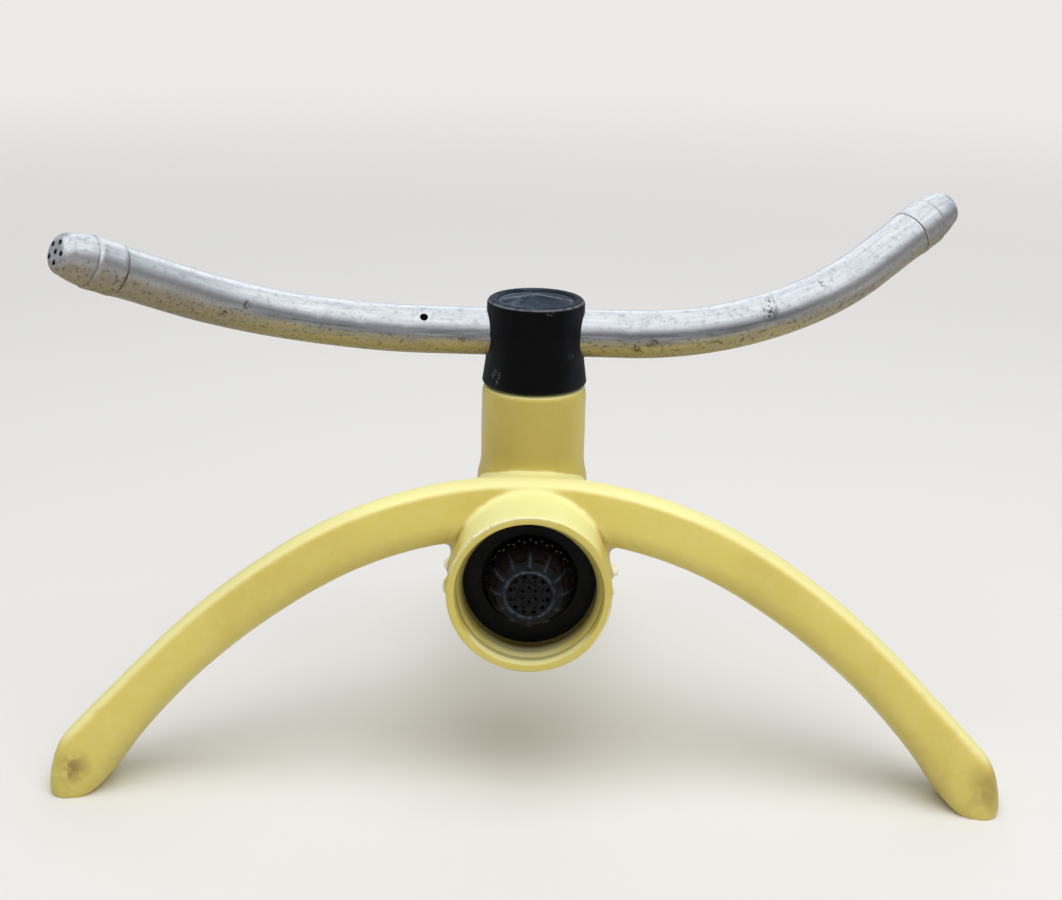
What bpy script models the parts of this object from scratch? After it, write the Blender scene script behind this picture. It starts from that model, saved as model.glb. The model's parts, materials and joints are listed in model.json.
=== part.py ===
# Two-arm rotary garden sprinkler on a moulded three-legged base.
# The ground is z = 0, the hose inlet faces -Y and the third leg runs to +Y.
# The two front legs are one arch in a plane that leans back.
# All shapes are drawn about the rotor's vertical axis. At the end the model is moved along Y,
# so that the middle of its footprint is the origin.

import math

import bmesh
import bpy
from mathutils import Matrix
from mathutils import Vector

MM = 0.001

# Clearances and fineness
SEAT_GAP = 0.3 * MM
ROUND_STEPS = 36
SMALL_ROUND_STEPS = 24

# Base: arch of the front legs and the rear leg
CROWN_HEIGHT = 57.4 * MM
CROWN_REACH = 14.8 * MM
ARCH_LEAN = math.radians(20.0)
CROWN_RADIUS = 83.5 * MM
CROWN_SWEEP = math.radians(32.0)
FRONT_LEG_STRAIGHT = 27.6 * MM
REAR_LEG_STRAIGHT = 17.1 * MM
STEEPEST_LEG = math.radians(75.0)
LEG_DEPTH_AT_CROWN = 12.0 * MM
LEG_DEPTH_AT_SHOULDER = 9.9 * MM
LEG_DEPTH_AT_FOOT = 12.6 * MM
LEG_DEPTH_POWER = 1.5
LEG_THICKNESS = 13.0 * MM
LEG_EDGE_RADIUS = 2.4 * MM
LEG_EDGE_RESOLUTION = 1
LEG_CURVE_STEPS = 14
FRONT_FOOT_REACH = 87.2 * MM
FRONT_FOOT_HEIGHT = 9.3 * MM
REAR_FOOT_REACH = 80.0 * MM
REAR_FOOT_HEIGHT = 11.6 * MM
REAR_CROWN_DROP = 2.0 * MM
REAR_SOLE_CUT = 1.0 * MM
FOOT_END_LEAN = 0.7 * MM
FOOT_TOP_CORNER_RADIUS = 4.0 * MM
FOOT_OUTER_CORNER_RADIUS = 3.0 * MM
FOOT_INNER_CORNER_RADIUS = 4.5 * MM
GROUND_CUT_DEPTH = 30.0 * MM

# Base: hose socket, a turned shape about the Y direction
SOCKET_DROP = 18.4 * MM
SOCKET_REACH = 28.0 * MM
SOCKET_DEPTH = 7.7 * MM
SOCKET_RIM_WIDTH = 1.5 * MM
SOCKET_STRAIGHT_LENGTH = 18.0 * MM
SOCKET_TAPER_LENGTH = 5.0 * MM
SOCKET_TAIL_WALL = 2.3 * MM
SOCKET_TAIL_END = 11.0 * MM
SOCKET_TAIL_ROUNDING = 3.0 * MM
SOCKET_END_WALL = 3.5 * MM
SOCKET_RIM_ROUNDING = 0.5 * MM
MOUTH_LEAD_IN = 1.2 * MM
MOUTH_CLEARANCE = 0.3 * MM
THREAD_MAJOR_RADIUS = 13.2 * MM
THREAD_DEPTH = 1.0 * MM
THREAD_PITCH = 1.8 * MM
WASHER_UNDERCUT = 0.6 * MM
INLET_CHAMBER_RADIUS = 8.5 * MM

# Base: riser
RISER_RISE = 13.3 * MM
RISER_WALL = 2.5 * MM
RISER_EDGE_ROUNDING = 0.8 * MM
BEARING_BORE_RADIUS = 7.3 * MM
BEARING_BORE_DEPTH = 18.7 * MM
BEARING_SEAT_WIDTH = 1.8 * MM

# Inlet washer and strainer
WASHER_THICKNESS = 2.6 * MM
WASHER_DOME_CLEARANCE = 0.7 * MM
STRAINER_FLANGE_INSET = 0.8 * MM
STRAINER_FLANGE_THICKNESS = 0.8 * MM
STRAINER_DOME_RADIUS = 7.9 * MM
STRAINER_DOME_LENGTH = 7.5 * MM
STRAINER_DISC_RADIUS = 4.7 * MM
STRAINER_WALL = 0.9 * MM
STRAINER_RIBS = 12
STRAINER_SLOT_ROWS = 3
STRAINER_SLOT_WIDTH = 1.5 * MM
STRAINER_RING_WIDTH = 0.8 * MM
STRAINER_DISC_HOLES = 6
STRAINER_DISC_HOLE_RADIUS = 0.45 * MM

# Rotor stem and its bearing
STEM_RADIUS = 4.0 * MM
STEM_SHOULDER_WIDTH = 1.0 * MM
STEM_WALL = 0.8 * MM
STEM_FLANGE_CLEARANCE = 0.5 * MM
STEM_FLANGE_THICKNESS = 1.5 * MM
STEM_FLANGE_LIFT = 0.6 * MM
STEM_SHOULDER_LIFT = 0.8 * MM
THRUST_WASHER_THICKNESS = 0.8 * MM
THRUST_SEAL_THICKNESS = 1.5 * MM
WEAR_WASHER_THICKNESS = 0.8 * MM
BUSH_RING_SECTION_RADIUS = 0.55 * MM
STEM_GASKET_THICKNESS = 0.6 * MM

# Hub and its top cap
HUB_FLARE_INSET = 0.15 * MM
HUB_FLARE_HEIGHT = 1.6 * MM
HUB_FLARE_TOP_INSET = 0.42 * MM
HUB_FLARE_TOP_HEIGHT = 3.4 * MM
HUB_WAIST_INSET = 0.65 * MM
HUB_WAIST_LOW = 5.4 * MM
HUB_WAIST_HIGH = 10.2 * MM
HUB_RIM_INSET = 0.55 * MM
HUB_RIM_POWER = 1.5
HUB_LIP_WIDTH = 2.0 * MM
HUB_LIP_HEIGHT = 1.0 * MM
HUB_WEB = 0.65 * MM
CAP_SEAT_DEPTH = 1.5 * MM
CAP_SPIGOT_RADIUS = 3.5 * MM
CAP_SPIGOT_LENGTH = 2.6 * MM
CAP_EDGE_THICKNESS = 0.7 * MM
CAP_PEAK_HEIGHT = 1.3 * MM

# Arms: bent tubes
ARM_LIFT = 9.6 * MM
TUBE_RADIUS = 4.45 * MM
TUBE_WALL = 0.75 * MM
TUBE_SPIGOT_GAP = 0.9 * MM
TUBE_BEND_START = 17.5 * MM
TUBE_BEND_RADIUS = 65.0 * MM
TUBE_BEND_ANGLE = math.radians(45.6)
TUBE_BEND_ROLL = math.radians(32.5)
TUBE_BEND_STEPS = 12
TUBE_STRAIGHT_END = 12.5 * MM
TUBE_NECK_INSET = 0.55 * MM
TUBE_SIDES_RESOLUTION = 9
JET_HOLE_RADIUS = 0.75 * MM
JET_HOLE_REACH = 20.0 * MM
JET_HOLE_ANGLE = math.radians(40.0)

# End caps
CAP_LENGTH = 11.5 * MM
CAP_SKIRT_LENGTH = 5.0 * MM
CAP_SHOULDER_LENGTH = 0.6 * MM
CAP_SHOULDER_INSET = 0.25 * MM
CAP_NOSE_TAPER = 0.75 * MM
CAP_NOSE_ROUNDING = 1.8 * MM
CAP_END_WALL = 0.8 * MM
CAP_SIDE_WALL = 0.5 * MM
SPRAY_HOLE_RADIUS = 0.5 * MM
SPRAY_RING_RADIUS = 1.9 * MM
SPRAY_RING_HOLES = 5

# Places and sizes worked out from the ones above
ARCH_LEAN_REACH = CROWN_REACH + CROWN_HEIGHT * math.tan(ARCH_LEAN)
ROTOR_AXIS_Y = (ARCH_LEAN_REACH - REAR_FOOT_REACH) / 2.0
SOCKET_AXIS_HEIGHT = CROWN_HEIGHT - SOCKET_DROP
RISER_TOP = CROWN_HEIGHT + RISER_RISE
RISER_RADIUS = BEARING_BORE_RADIUS + RISER_WALL
RISER_PASSAGE_RADIUS = BEARING_BORE_RADIUS - BEARING_SEAT_WIDTH
BEARING_BORE_FLOOR = RISER_TOP - BEARING_BORE_DEPTH
THREAD_MINOR_RADIUS = THREAD_MAJOR_RADIUS - THREAD_DEPTH
MOUTH_RADIUS = THREAD_MAJOR_RADIUS + MOUTH_CLEARANCE
SOCKET_OUTER_RADIUS = MOUTH_RADIUS + SOCKET_RIM_WIDTH
SOCKET_TAIL_RADIUS = INLET_CHAMBER_RADIUS + SOCKET_TAIL_WALL
INLET_CHAMBER_END = SOCKET_TAIL_END - SOCKET_END_WALL
THREAD_TURNS = int((SOCKET_DEPTH - MOUTH_LEAD_IN - SEAT_GAP) / THREAD_PITCH)
WASHER_POCKET_RADIUS = THREAD_MINOR_RADIUS + WASHER_UNDERCUT
WASHER_INNER_RADIUS = STRAINER_DOME_RADIUS + WASHER_DOME_CLEARANCE
WASHER_FACE_REACH = SOCKET_REACH - SOCKET_DEPTH
WASHER_BACK_REACH = WASHER_FACE_REACH - WASHER_THICKNESS
STRAINER_FLANGE_RADIUS = WASHER_POCKET_RADIUS - STRAINER_FLANGE_INSET
STRAINER_DOME_REACH = WASHER_FACE_REACH + STRAINER_DOME_LENGTH
STRAINER_FACE_REACH = WASHER_BACK_REACH - SEAT_GAP
STRAINER_BACK_REACH = STRAINER_FACE_REACH - STRAINER_FLANGE_THICKNESS
INLET_SEAT_REACH = STRAINER_BACK_REACH - SEAT_GAP
HUB_FOOT = RISER_TOP + SEAT_GAP
ARM_HEIGHT = HUB_FOOT + ARM_LIFT
ARM_BORE_RADIUS = TUBE_RADIUS + SEAT_GAP
CAP_SEAT_FLOOR = ARM_HEIGHT + ARM_BORE_RADIUS + HUB_WEB
HUB_TOP = CAP_SEAT_FLOOR + CAP_SEAT_DEPTH
HUB_FOOT_RADIUS = RISER_RADIUS
HUB_WAIST_RADIUS = HUB_FOOT_RADIUS - HUB_WAIST_INSET
HUB_RIM_RADIUS = HUB_FOOT_RADIUS - HUB_RIM_INSET
CAP_SEAT_RADIUS = HUB_RIM_RADIUS - HUB_LIP_WIDTH
TUBE_INNER_END = CAP_SPIGOT_RADIUS + TUBE_SPIGOT_GAP
TUBE_NECK_RADIUS = TUBE_RADIUS - TUBE_NECK_INSET
TUBE_NECK_TAPER = SEAT_GAP
TUBE_NECK_LENGTH = CAP_SKIRT_LENGTH
CAP_OUTER_RADIUS = TUBE_NECK_RADIUS + SEAT_GAP + CAP_SIDE_WALL
CAP_SHOULDER_RADIUS = CAP_OUTER_RADIUS - CAP_SHOULDER_INSET
CAP_NOSE_RADIUS = CAP_SHOULDER_RADIUS - CAP_NOSE_TAPER
STEM_HOLE_RADIUS = STEM_RADIUS + SEAT_GAP
STEM_THREAD_RADIUS = STEM_RADIUS - STEM_SHOULDER_WIDTH
STEM_BORE_RADIUS = STEM_THREAD_RADIUS - STEM_WALL
STEM_FLANGE_RADIUS = BEARING_BORE_RADIUS - STEM_FLANGE_CLEARANCE
STEM_SHOULDER_HEIGHT = RISER_TOP + STEM_SHOULDER_LIFT
STEM_FLANGE_FOOT = BEARING_BORE_FLOOR + STEM_FLANGE_LIFT
STEM_TOP = ARM_HEIGHT - ARM_BORE_RADIUS
STEM_GASKET_FOOT = STEM_SHOULDER_HEIGHT + SEAT_GAP
STEM_THREAD_BORE_FOOT = STEM_GASKET_FOOT + STEM_GASKET_THICKNESS + SEAT_GAP
THRUST_OUTER_RADIUS = BEARING_BORE_RADIUS - SEAT_GAP
LOWER_THRUST_FOOT = STEM_FLANGE_FOOT + STEM_FLANGE_THICKNESS + SEAT_GAP
THRUST_SEAL_FOOT = LOWER_THRUST_FOOT + THRUST_WASHER_THICKNESS + SEAT_GAP
UPPER_THRUST_FOOT = THRUST_SEAL_FOOT + THRUST_SEAL_THICKNESS + SEAT_GAP
BUSH_FOOT = UPPER_THRUST_FOOT + THRUST_WASHER_THICKNESS + SEAT_GAP
WEAR_WASHER_FOOT = RISER_TOP - WEAR_WASHER_THICKNESS
BUSH_TOP = WEAR_WASHER_FOOT - SEAT_GAP
BUSH_GROOVE_DEPTH = SEAT_GAP + 2.0 * BUSH_RING_SECTION_RADIUS
BUSH_GROOVE_HEIGHT = 2.0 * (SEAT_GAP + BUSH_RING_SECTION_RADIUS)


def clear_scene():
    for scene_object in list(bpy.data.objects):
        bpy.data.objects.remove(scene_object, do_unlink=True)


def new_collection(name):
    collection = bpy.data.collections.new(name)
    bpy.context.scene.collection.children.link(collection)
    return collection


clear_scene()
PARTS = new_collection("garden_sprinkler")
CUTTERS = new_collection("cutters")


def new_material(name, colour, roughness, metallic=0.0):
    material = bpy.data.materials.new(name)
    material.use_nodes = True
    shader = material.node_tree.nodes["Principled BSDF"]
    shader.inputs["Base Color"].default_value = (*colour, 1.0)
    shader.inputs["Roughness"].default_value = roughness
    shader.inputs["Metallic"].default_value = metallic
    material.diffuse_color = (*colour, 1.0)
    return material


def add_part(name, mesh, colour, roughness, metallic=0.0, parent=None):
    # A visible sub-part with its own material
    part = bpy.data.objects.new(name, mesh)
    mesh.materials.append(new_material(name + "_material", colour, roughness, metallic))
    PARTS.objects.link(part)
    if parent:
        part.parent = parent
        part.matrix_parent_inverse = parent.matrix_basis.inverted()
    return part


def add_cutter(name, mesh):
    # A tool shape that is joined to or cut from a part
    cutter = bpy.data.objects.new(name, mesh)
    cutter.hide_render = True
    cutter.display_type = "WIRE"
    CUTTERS.objects.link(cutter)
    return cutter


def profile_mesh(name, points, closed):
    # An outline in the XZ plane that runs down its outer side
    mesh = bpy.data.meshes.new(name)
    shape = bmesh.new()
    corners = [shape.verts.new((radius, 0.0, height)) for radius, height in points]
    for first, second in zip(corners, corners[1:]):
        shape.edges.new((first, second))
    if closed:
        shape.edges.new((corners[-1], corners[0]))
    shape.to_mesh(mesh)
    shape.free()
    return mesh


def turn(part, steps=ROUND_STEPS):
    screw = part.modifiers.new("turn", "SCREW")
    screw.axis = "Z"
    screw.steps = steps
    screw.render_steps = steps
    screw.use_merge_vertices = True
    screw.merge_threshold = 0.00001
    screw.use_smooth_shade = True
    return part


def combine(part, tool, operation):
    boolean = part.modifiers.new(tool.name, "BOOLEAN")
    boolean.object = tool
    boolean.operation = operation
    boolean.solver = "EXACT"


def face_inlet(part):
    # Turns a shape so that its local Z points out of the hose socket, to -Y
    part.rotation_euler = (math.radians(90.0), 0.0, 0.0)
    part.location = (0.0, 0.0, SOCKET_AXIS_HEIGHT)
    return part


def arc(centre, radius, start, end, steps):
    # Points on a circle, angles measured from +X
    points = []
    for step in range(steps + 1):
        angle = start + (end - start) * step / steps
        points.append((centre[0] + radius * math.cos(angle), centre[1] + radius * math.sin(angle)))
    return points


def round_corner(before, corner, after, radius, steps=5):
    # Replaces one corner of an outline by an arc that touches both of its sides
    corner = Vector(corner)
    to_before = (Vector(before) - corner).normalized()
    to_after = (Vector(after) - corner).normalized()
    half = to_before.angle(to_after) / 2.0
    bisector = (to_before + to_after).normalized()
    centre = corner + bisector * (radius / math.sin(half))
    first = corner + to_before * (radius / math.tan(half)) - centre
    last = corner + to_after * (radius / math.tan(half)) - centre
    turn_angle = math.atan2(first.x * last.y - first.y * last.x, first.dot(last))
    start = math.atan2(first.y, first.x)
    return arc(centre, radius, start, start + turn_angle, steps)


def crown_end():
    # Where the crown's arc ends, measured from the top of the upper edge
    return Vector((CROWN_RADIUS * math.sin(CROWN_SWEEP), CROWN_RADIUS * (math.cos(CROWN_SWEEP) - 1.0)))


def shoulder_bend(foot_corner, straight):
    # Radius and end slope of the shoulder that leads from the crown into the straight run to the foot
    low = CROWN_SWEEP
    high = STEEPEST_LEG
    for _ in range(40):
        slope = (low + high) / 2.0
        run = Vector((math.cos(slope), -math.sin(slope))) * straight
        chord = foot_corner - run - crown_end()
        if 2.0 * math.atan2(-chord.y, chord.x) - CROWN_SWEEP > slope:
            low = slope
        else:
            high = slope
    return chord.length / (2.0 * math.sin((slope - CROWN_SWEEP) / 2.0)), slope


def upper_edge(distance, shoulder_radius, leg_slope):
    # Point on the leg's upper edge and its slope, a distance along it from the crown
    crown_length = CROWN_RADIUS * CROWN_SWEEP
    shoulder_length = shoulder_radius * (leg_slope - CROWN_SWEEP)
    on_crown = min(distance, crown_length)
    slope = on_crown / CROWN_RADIUS
    across = CROWN_RADIUS * math.sin(slope)
    drop = CROWN_RADIUS * (1.0 - math.cos(slope))
    on_shoulder = min(max(distance - crown_length, 0.0), shoulder_length)
    start_slope = slope
    slope = slope + on_shoulder / shoulder_radius
    across += shoulder_radius * (math.sin(slope) - math.sin(start_slope))
    drop += shoulder_radius * (math.cos(start_slope) - math.cos(slope))
    straight = max(distance - crown_length - shoulder_length, 0.0)
    across += straight * math.cos(slope)
    drop += straight * math.sin(slope)
    return Vector((across, -drop)), slope


def leg_depth(distance, shoulder_distance, foot_distance):
    # The leg is deep at the crown, slimmest at the shoulder and deeper again at the foot
    if distance < shoulder_distance:
        share = distance / shoulder_distance
        return LEG_DEPTH_AT_CROWN + (LEG_DEPTH_AT_SHOULDER - LEG_DEPTH_AT_CROWN) * share
    share = (distance - shoulder_distance) / (foot_distance - shoulder_distance)
    return LEG_DEPTH_AT_SHOULDER + (LEG_DEPTH_AT_FOOT - LEG_DEPTH_AT_SHOULDER) * share ** LEG_DEPTH_POWER


def leg_outline(crown_height, foot_reach, foot_height, straight):
    # Half outline of a leg: down the upper edge, round the foot and back along the lower edge
    foot_corner = Vector((foot_reach - FOOT_END_LEAN, foot_height - crown_height))
    shoulder_radius, leg_slope = shoulder_bend(foot_corner, straight)
    shoulder_distance = CROWN_RADIUS * CROWN_SWEEP + shoulder_radius * (leg_slope - CROWN_SWEEP)
    corner_distance = shoulder_distance + straight
    distances = [shoulder_distance * step / (LEG_CURVE_STEPS - 1) for step in range(LEG_CURVE_STEPS)]
    distances += [shoulder_distance + straight * share for share in (0.25, 0.5, 0.75, 0.95)]
    lift = Vector((0.0, crown_height))
    upper = []
    lower = []
    for distance in distances:
        point, slope = upper_edge(distance, shoulder_radius, leg_slope)
        depth = leg_depth(distance, shoulder_distance, corner_distance)
        inward = Vector((math.sin(slope), math.cos(slope))) * depth
        if distance <= shoulder_distance:
            upper.append(tuple(point + lift))
        lower.append(tuple(point + lift - inward))
    top_corner = tuple(foot_corner + lift)
    outer_corner = (foot_reach, 0.0)
    run = Vector(lower[-1]) - Vector(lower[-2])
    inner_corner = (lower[-1][0] - lower[-1][1] * run.x / run.y, 0.0)
    foot = round_corner(upper[-1], top_corner, outer_corner, FOOT_TOP_CORNER_RADIUS)
    foot += round_corner(top_corner, outer_corner, inner_corner, FOOT_OUTER_CORNER_RADIUS)
    sole_end = round_corner(outer_corner, inner_corner, lower[-2], FOOT_INNER_CORNER_RADIUS)
    kept = [point for point in lower[:-1] if point[1] > sole_end[-1][1] + LEG_EDGE_RADIUS / 2.0]
    return upper + foot + sole_end + kept[::-1]


def flat_solid(name, outline, thickness, edge_radius):
    # An outline in the XY plane with a thickness about it and rounded edges, as a closed mesh
    curve = bpy.data.curves.new(name, "CURVE")
    curve.dimensions = "2D"
    curve.fill_mode = "BOTH"
    curve.extrude = thickness / 2.0 - edge_radius
    curve.bevel_depth = edge_radius
    curve.bevel_resolution = LEG_EDGE_RESOLUTION
    curve.offset = -edge_radius
    spline = curve.splines.new("POLY")
    spline.points.add(len(outline) - 1)
    for point, place in zip(spline.points, outline):
        point.co = (place[0], place[1], 0.0, 1.0)
    spline.use_cyclic_u = True
    return curve_to_mesh(name, curve)


def curve_to_mesh(name, curve):
    # The mesh of a curve, with its caps welded to its sides
    holder = bpy.data.objects.new(name + "_curve", curve)
    CUTTERS.objects.link(holder)
    bpy.context.view_layer.update()
    evaluated = holder.evaluated_get(bpy.context.evaluated_depsgraph_get())
    mesh = bpy.data.meshes.new_from_object(evaluated)
    mesh.name = name
    bpy.data.objects.remove(holder, do_unlink=True)
    weld(mesh)
    return mesh


def weld(mesh):
    shape = bmesh.new()
    shape.from_mesh(mesh)
    bmesh.ops.remove_doubles(shape, verts=shape.verts, dist=0.00001)
    bmesh.ops.recalc_face_normals(shape, faces=shape.faces)
    shape.to_mesh(mesh)
    shape.free()


def box_mesh(name, low, high):
    mesh = bpy.data.meshes.new(name)
    shape = bmesh.new()
    bmesh.ops.create_cube(shape, size=1.0)
    size = Vector(high) - Vector(low)
    middle = (Vector(high) + Vector(low)) / 2.0
    bmesh.ops.scale(shape, vec=size, verts=shape.verts)
    bmesh.ops.translate(shape, vec=middle, verts=shape.verts)
    shape.to_mesh(mesh)
    shape.free()
    return mesh


def add_cylinder(shape, radius, start, end, sides=12):
    # A capped cylinder between two points, added to a bmesh
    axis = Vector(end) - Vector(start)
    turned = axis.to_track_quat("Z", "Y").to_matrix().to_4x4()
    place = Matrix.Translation((Vector(start) + Vector(end)) / 2.0) @ turned
    bmesh.ops.create_cone(
        shape, cap_ends=True, segments=sides, radius1=radius, radius2=radius, depth=axis.length, matrix=place
    )


def cylinders_mesh(name, rods, sides=12):
    # Each rod is a radius, a start and an end
    mesh = bpy.data.meshes.new(name)
    shape = bmesh.new()
    for radius, start, end in rods:
        add_cylinder(shape, radius, start, end, sides)
    shape.to_mesh(mesh)
    shape.free()
    return mesh


def front_arch_mesh():
    # The arch stands on its front edge and is mirrored about x = 0
    slant = 1.0 / math.cos(ARCH_LEAN)
    half = leg_outline(CROWN_HEIGHT * slant, FRONT_FOOT_REACH, FRONT_FOOT_HEIGHT * slant, FRONT_LEG_STRAIGHT)
    mirrored = [(-across, up) for across, up in half[1:-1]]
    return flat_solid("base_body", half + mirrored[::-1], LEG_THICKNESS, LEG_EDGE_RADIUS)


def rear_leg():
    # Its rounded sole reaches below the ground, where it is cut flat
    crown_height = CROWN_HEIGHT - REAR_CROWN_DROP + REAR_SOLE_CUT
    half = leg_outline(crown_height, REAR_FOOT_REACH, REAR_FOOT_HEIGHT + REAR_SOLE_CUT, REAR_LEG_STRAIGHT)
    leg = add_cutter("rear_leg", flat_solid("rear_leg", half, LEG_THICKNESS, LEG_EDGE_RADIUS))
    leg.rotation_euler = (math.radians(90.0), 0.0, math.radians(90.0))
    leg.location = (0.0, 0.0, -REAR_SOLE_CUT)
    return leg


def socket_shell():
    straight_back = SOCKET_REACH - SOCKET_STRAIGHT_LENGTH
    taper_back = straight_back - SOCKET_TAPER_LENGTH
    tail_corner = (SOCKET_TAIL_RADIUS - SOCKET_TAIL_ROUNDING, -SOCKET_TAIL_END + SOCKET_TAIL_ROUNDING)
    points = [(0.0, SOCKET_REACH)]
    points.append((SOCKET_OUTER_RADIUS - SOCKET_RIM_ROUNDING, SOCKET_REACH))
    points.append((SOCKET_OUTER_RADIUS, SOCKET_REACH - SOCKET_RIM_ROUNDING))
    points.append((SOCKET_OUTER_RADIUS, straight_back))
    points.append((SOCKET_TAIL_RADIUS, taper_back))
    points += arc(tail_corner, SOCKET_TAIL_ROUNDING, 0.0, math.radians(-90.0), 3)
    points.append((0.0, -SOCKET_TAIL_END))
    return face_inlet(turn(add_cutter("socket_shell", profile_mesh("socket_shell", points, False))))


def riser_column():
    foot = SOCKET_AXIS_HEIGHT
    points = [(0.0, RISER_TOP), (RISER_RADIUS - RISER_EDGE_ROUNDING, RISER_TOP)]
    centre = (RISER_RADIUS - RISER_EDGE_ROUNDING, RISER_TOP - RISER_EDGE_ROUNDING)
    points += arc(centre, RISER_EDGE_ROUNDING, math.radians(60.0), 0.0, 2)
    points += [(RISER_RADIUS, foot), (0.0, foot)]
    return turn(add_cutter("riser_column", profile_mesh("riser_column", points, False)))


def inlet_bore():
    # From outside the mouth: lead-in, thread grooves, washer pocket, seat and chamber
    points = [(0.0, SOCKET_REACH + MOUTH_LEAD_IN), (MOUTH_RADIUS, SOCKET_REACH + MOUTH_LEAD_IN)]
    points.append((MOUTH_RADIUS, SOCKET_REACH))
    crest = SOCKET_REACH - MOUTH_LEAD_IN
    points.append((THREAD_MINOR_RADIUS, crest))
    for groove in range(THREAD_TURNS):
        points.append((THREAD_MAJOR_RADIUS, crest - THREAD_PITCH * (groove + 0.5)))
        points.append((THREAD_MINOR_RADIUS, crest - THREAD_PITCH * (groove + 1.0)))
    pocket_mouth = WASHER_FACE_REACH + SEAT_GAP
    points.append((THREAD_MINOR_RADIUS, pocket_mouth))
    points.append((WASHER_POCKET_RADIUS, pocket_mouth))
    points.append((WASHER_POCKET_RADIUS, INLET_SEAT_REACH))
    points.append((INLET_CHAMBER_RADIUS, INLET_SEAT_REACH))
    points.append((INLET_CHAMBER_RADIUS, -INLET_CHAMBER_END))
    points.append((0.0, -INLET_CHAMBER_END))
    return face_inlet(turn(add_cutter("inlet_bore", profile_mesh("inlet_bore", points, False))))


def riser_bore():
    above = RISER_TOP + SEAT_GAP
    points = [(0.0, above), (BEARING_BORE_RADIUS, above), (BEARING_BORE_RADIUS, BEARING_BORE_FLOOR)]
    points += [(RISER_PASSAGE_RADIUS, BEARING_BORE_FLOOR), (RISER_PASSAGE_RADIUS, SOCKET_AXIS_HEIGHT)]
    points.append((0.0, SOCKET_AXIS_HEIGHT))
    return turn(add_cutter("riser_bore", profile_mesh("riser_bore", points, False)))


def ground_cutter():
    wide = FRONT_FOOT_REACH + LEG_THICKNESS
    low = (-wide, -wide, -GROUND_CUT_DEPTH)
    high = (wide, wide, 0.0)
    return add_cutter("ground_cutter", box_mesh("ground_cutter", low, high))


def make_base():
    base = add_part("base_body", front_arch_mesh(), (0.66, 0.53, 0.10), 0.42)
    back = LEG_THICKNESS / 2.0
    place = Matrix.Translation((0.0, -ARCH_LEAN_REACH, 0.0))
    lean = Matrix.Rotation(math.radians(90.0) - ARCH_LEAN, 4, "X")
    base.data.transform(place @ lean @ Matrix.Translation((0.0, 0.0, -back)))
    combine(base, rear_leg(), "UNION")
    combine(base, riser_column(), "UNION")
    combine(base, socket_shell(), "UNION")
    combine(base, ground_cutter(), "DIFFERENCE")
    combine(base, inlet_bore(), "DIFFERENCE")
    combine(base, riser_bore(), "DIFFERENCE")


def ring_outline(inner, outer, foot, top):
    return [(outer, top), (outer, foot), (inner, foot), (inner, top)]


def make_ring(name, inner, outer, foot, top, colour, roughness, metallic=0.0, parent=None):
    mesh = profile_mesh(name, ring_outline(inner, outer, foot, top), True)
    return turn(add_part(name, mesh, colour, roughness, metallic, parent), SMALL_ROUND_STEPS)


def make_inlet_washer():
    inner = WASHER_INNER_RADIUS
    outer = WASHER_POCKET_RADIUS - SEAT_GAP
    black = (0.02, 0.02, 0.02)
    washer = make_ring("inlet_washer", inner, outer, WASHER_BACK_REACH, WASHER_FACE_REACH, black, 0.7)
    face_inlet(washer)


def strainer_radius(reach):
    # The dome narrows along a quarter ellipse from its foot to the rim of its end disc
    rise = (reach - WASHER_FACE_REACH) / (STRAINER_DOME_REACH - WASHER_FACE_REACH)
    bulge = math.sqrt(max(1.0 - max(rise, 0.0) ** 2, 0.0))
    return STRAINER_DISC_RADIUS + (STRAINER_DOME_RADIUS - STRAINER_DISC_RADIUS) * bulge


def strainer_outline():
    outer = [(STRAINER_DISC_RADIUS - STRAINER_WALL, STRAINER_DOME_REACH)]
    inner = []
    for step in range(7):
        share = math.sin(math.radians(90.0) * (1.0 - step / 6.0))
        reach = WASHER_FACE_REACH + (STRAINER_DOME_REACH - WASHER_FACE_REACH) * share
        radius = strainer_radius(reach)
        outer.append((radius, reach))
        inner.append((radius - STRAINER_WALL, min(reach, STRAINER_DOME_REACH - STRAINER_WALL)))
    foot_radius = STRAINER_DOME_RADIUS
    points = [(0.0, STRAINER_DOME_REACH)] + outer
    points += [(foot_radius, STRAINER_FACE_REACH), (STRAINER_FLANGE_RADIUS, STRAINER_FACE_REACH)]
    points += [(STRAINER_FLANGE_RADIUS, STRAINER_BACK_REACH)]
    points += [(foot_radius - STRAINER_WALL, STRAINER_BACK_REACH)]
    points += inner[::-1]
    points.append((0.0, STRAINER_DOME_REACH - STRAINER_WALL))
    return points


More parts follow.
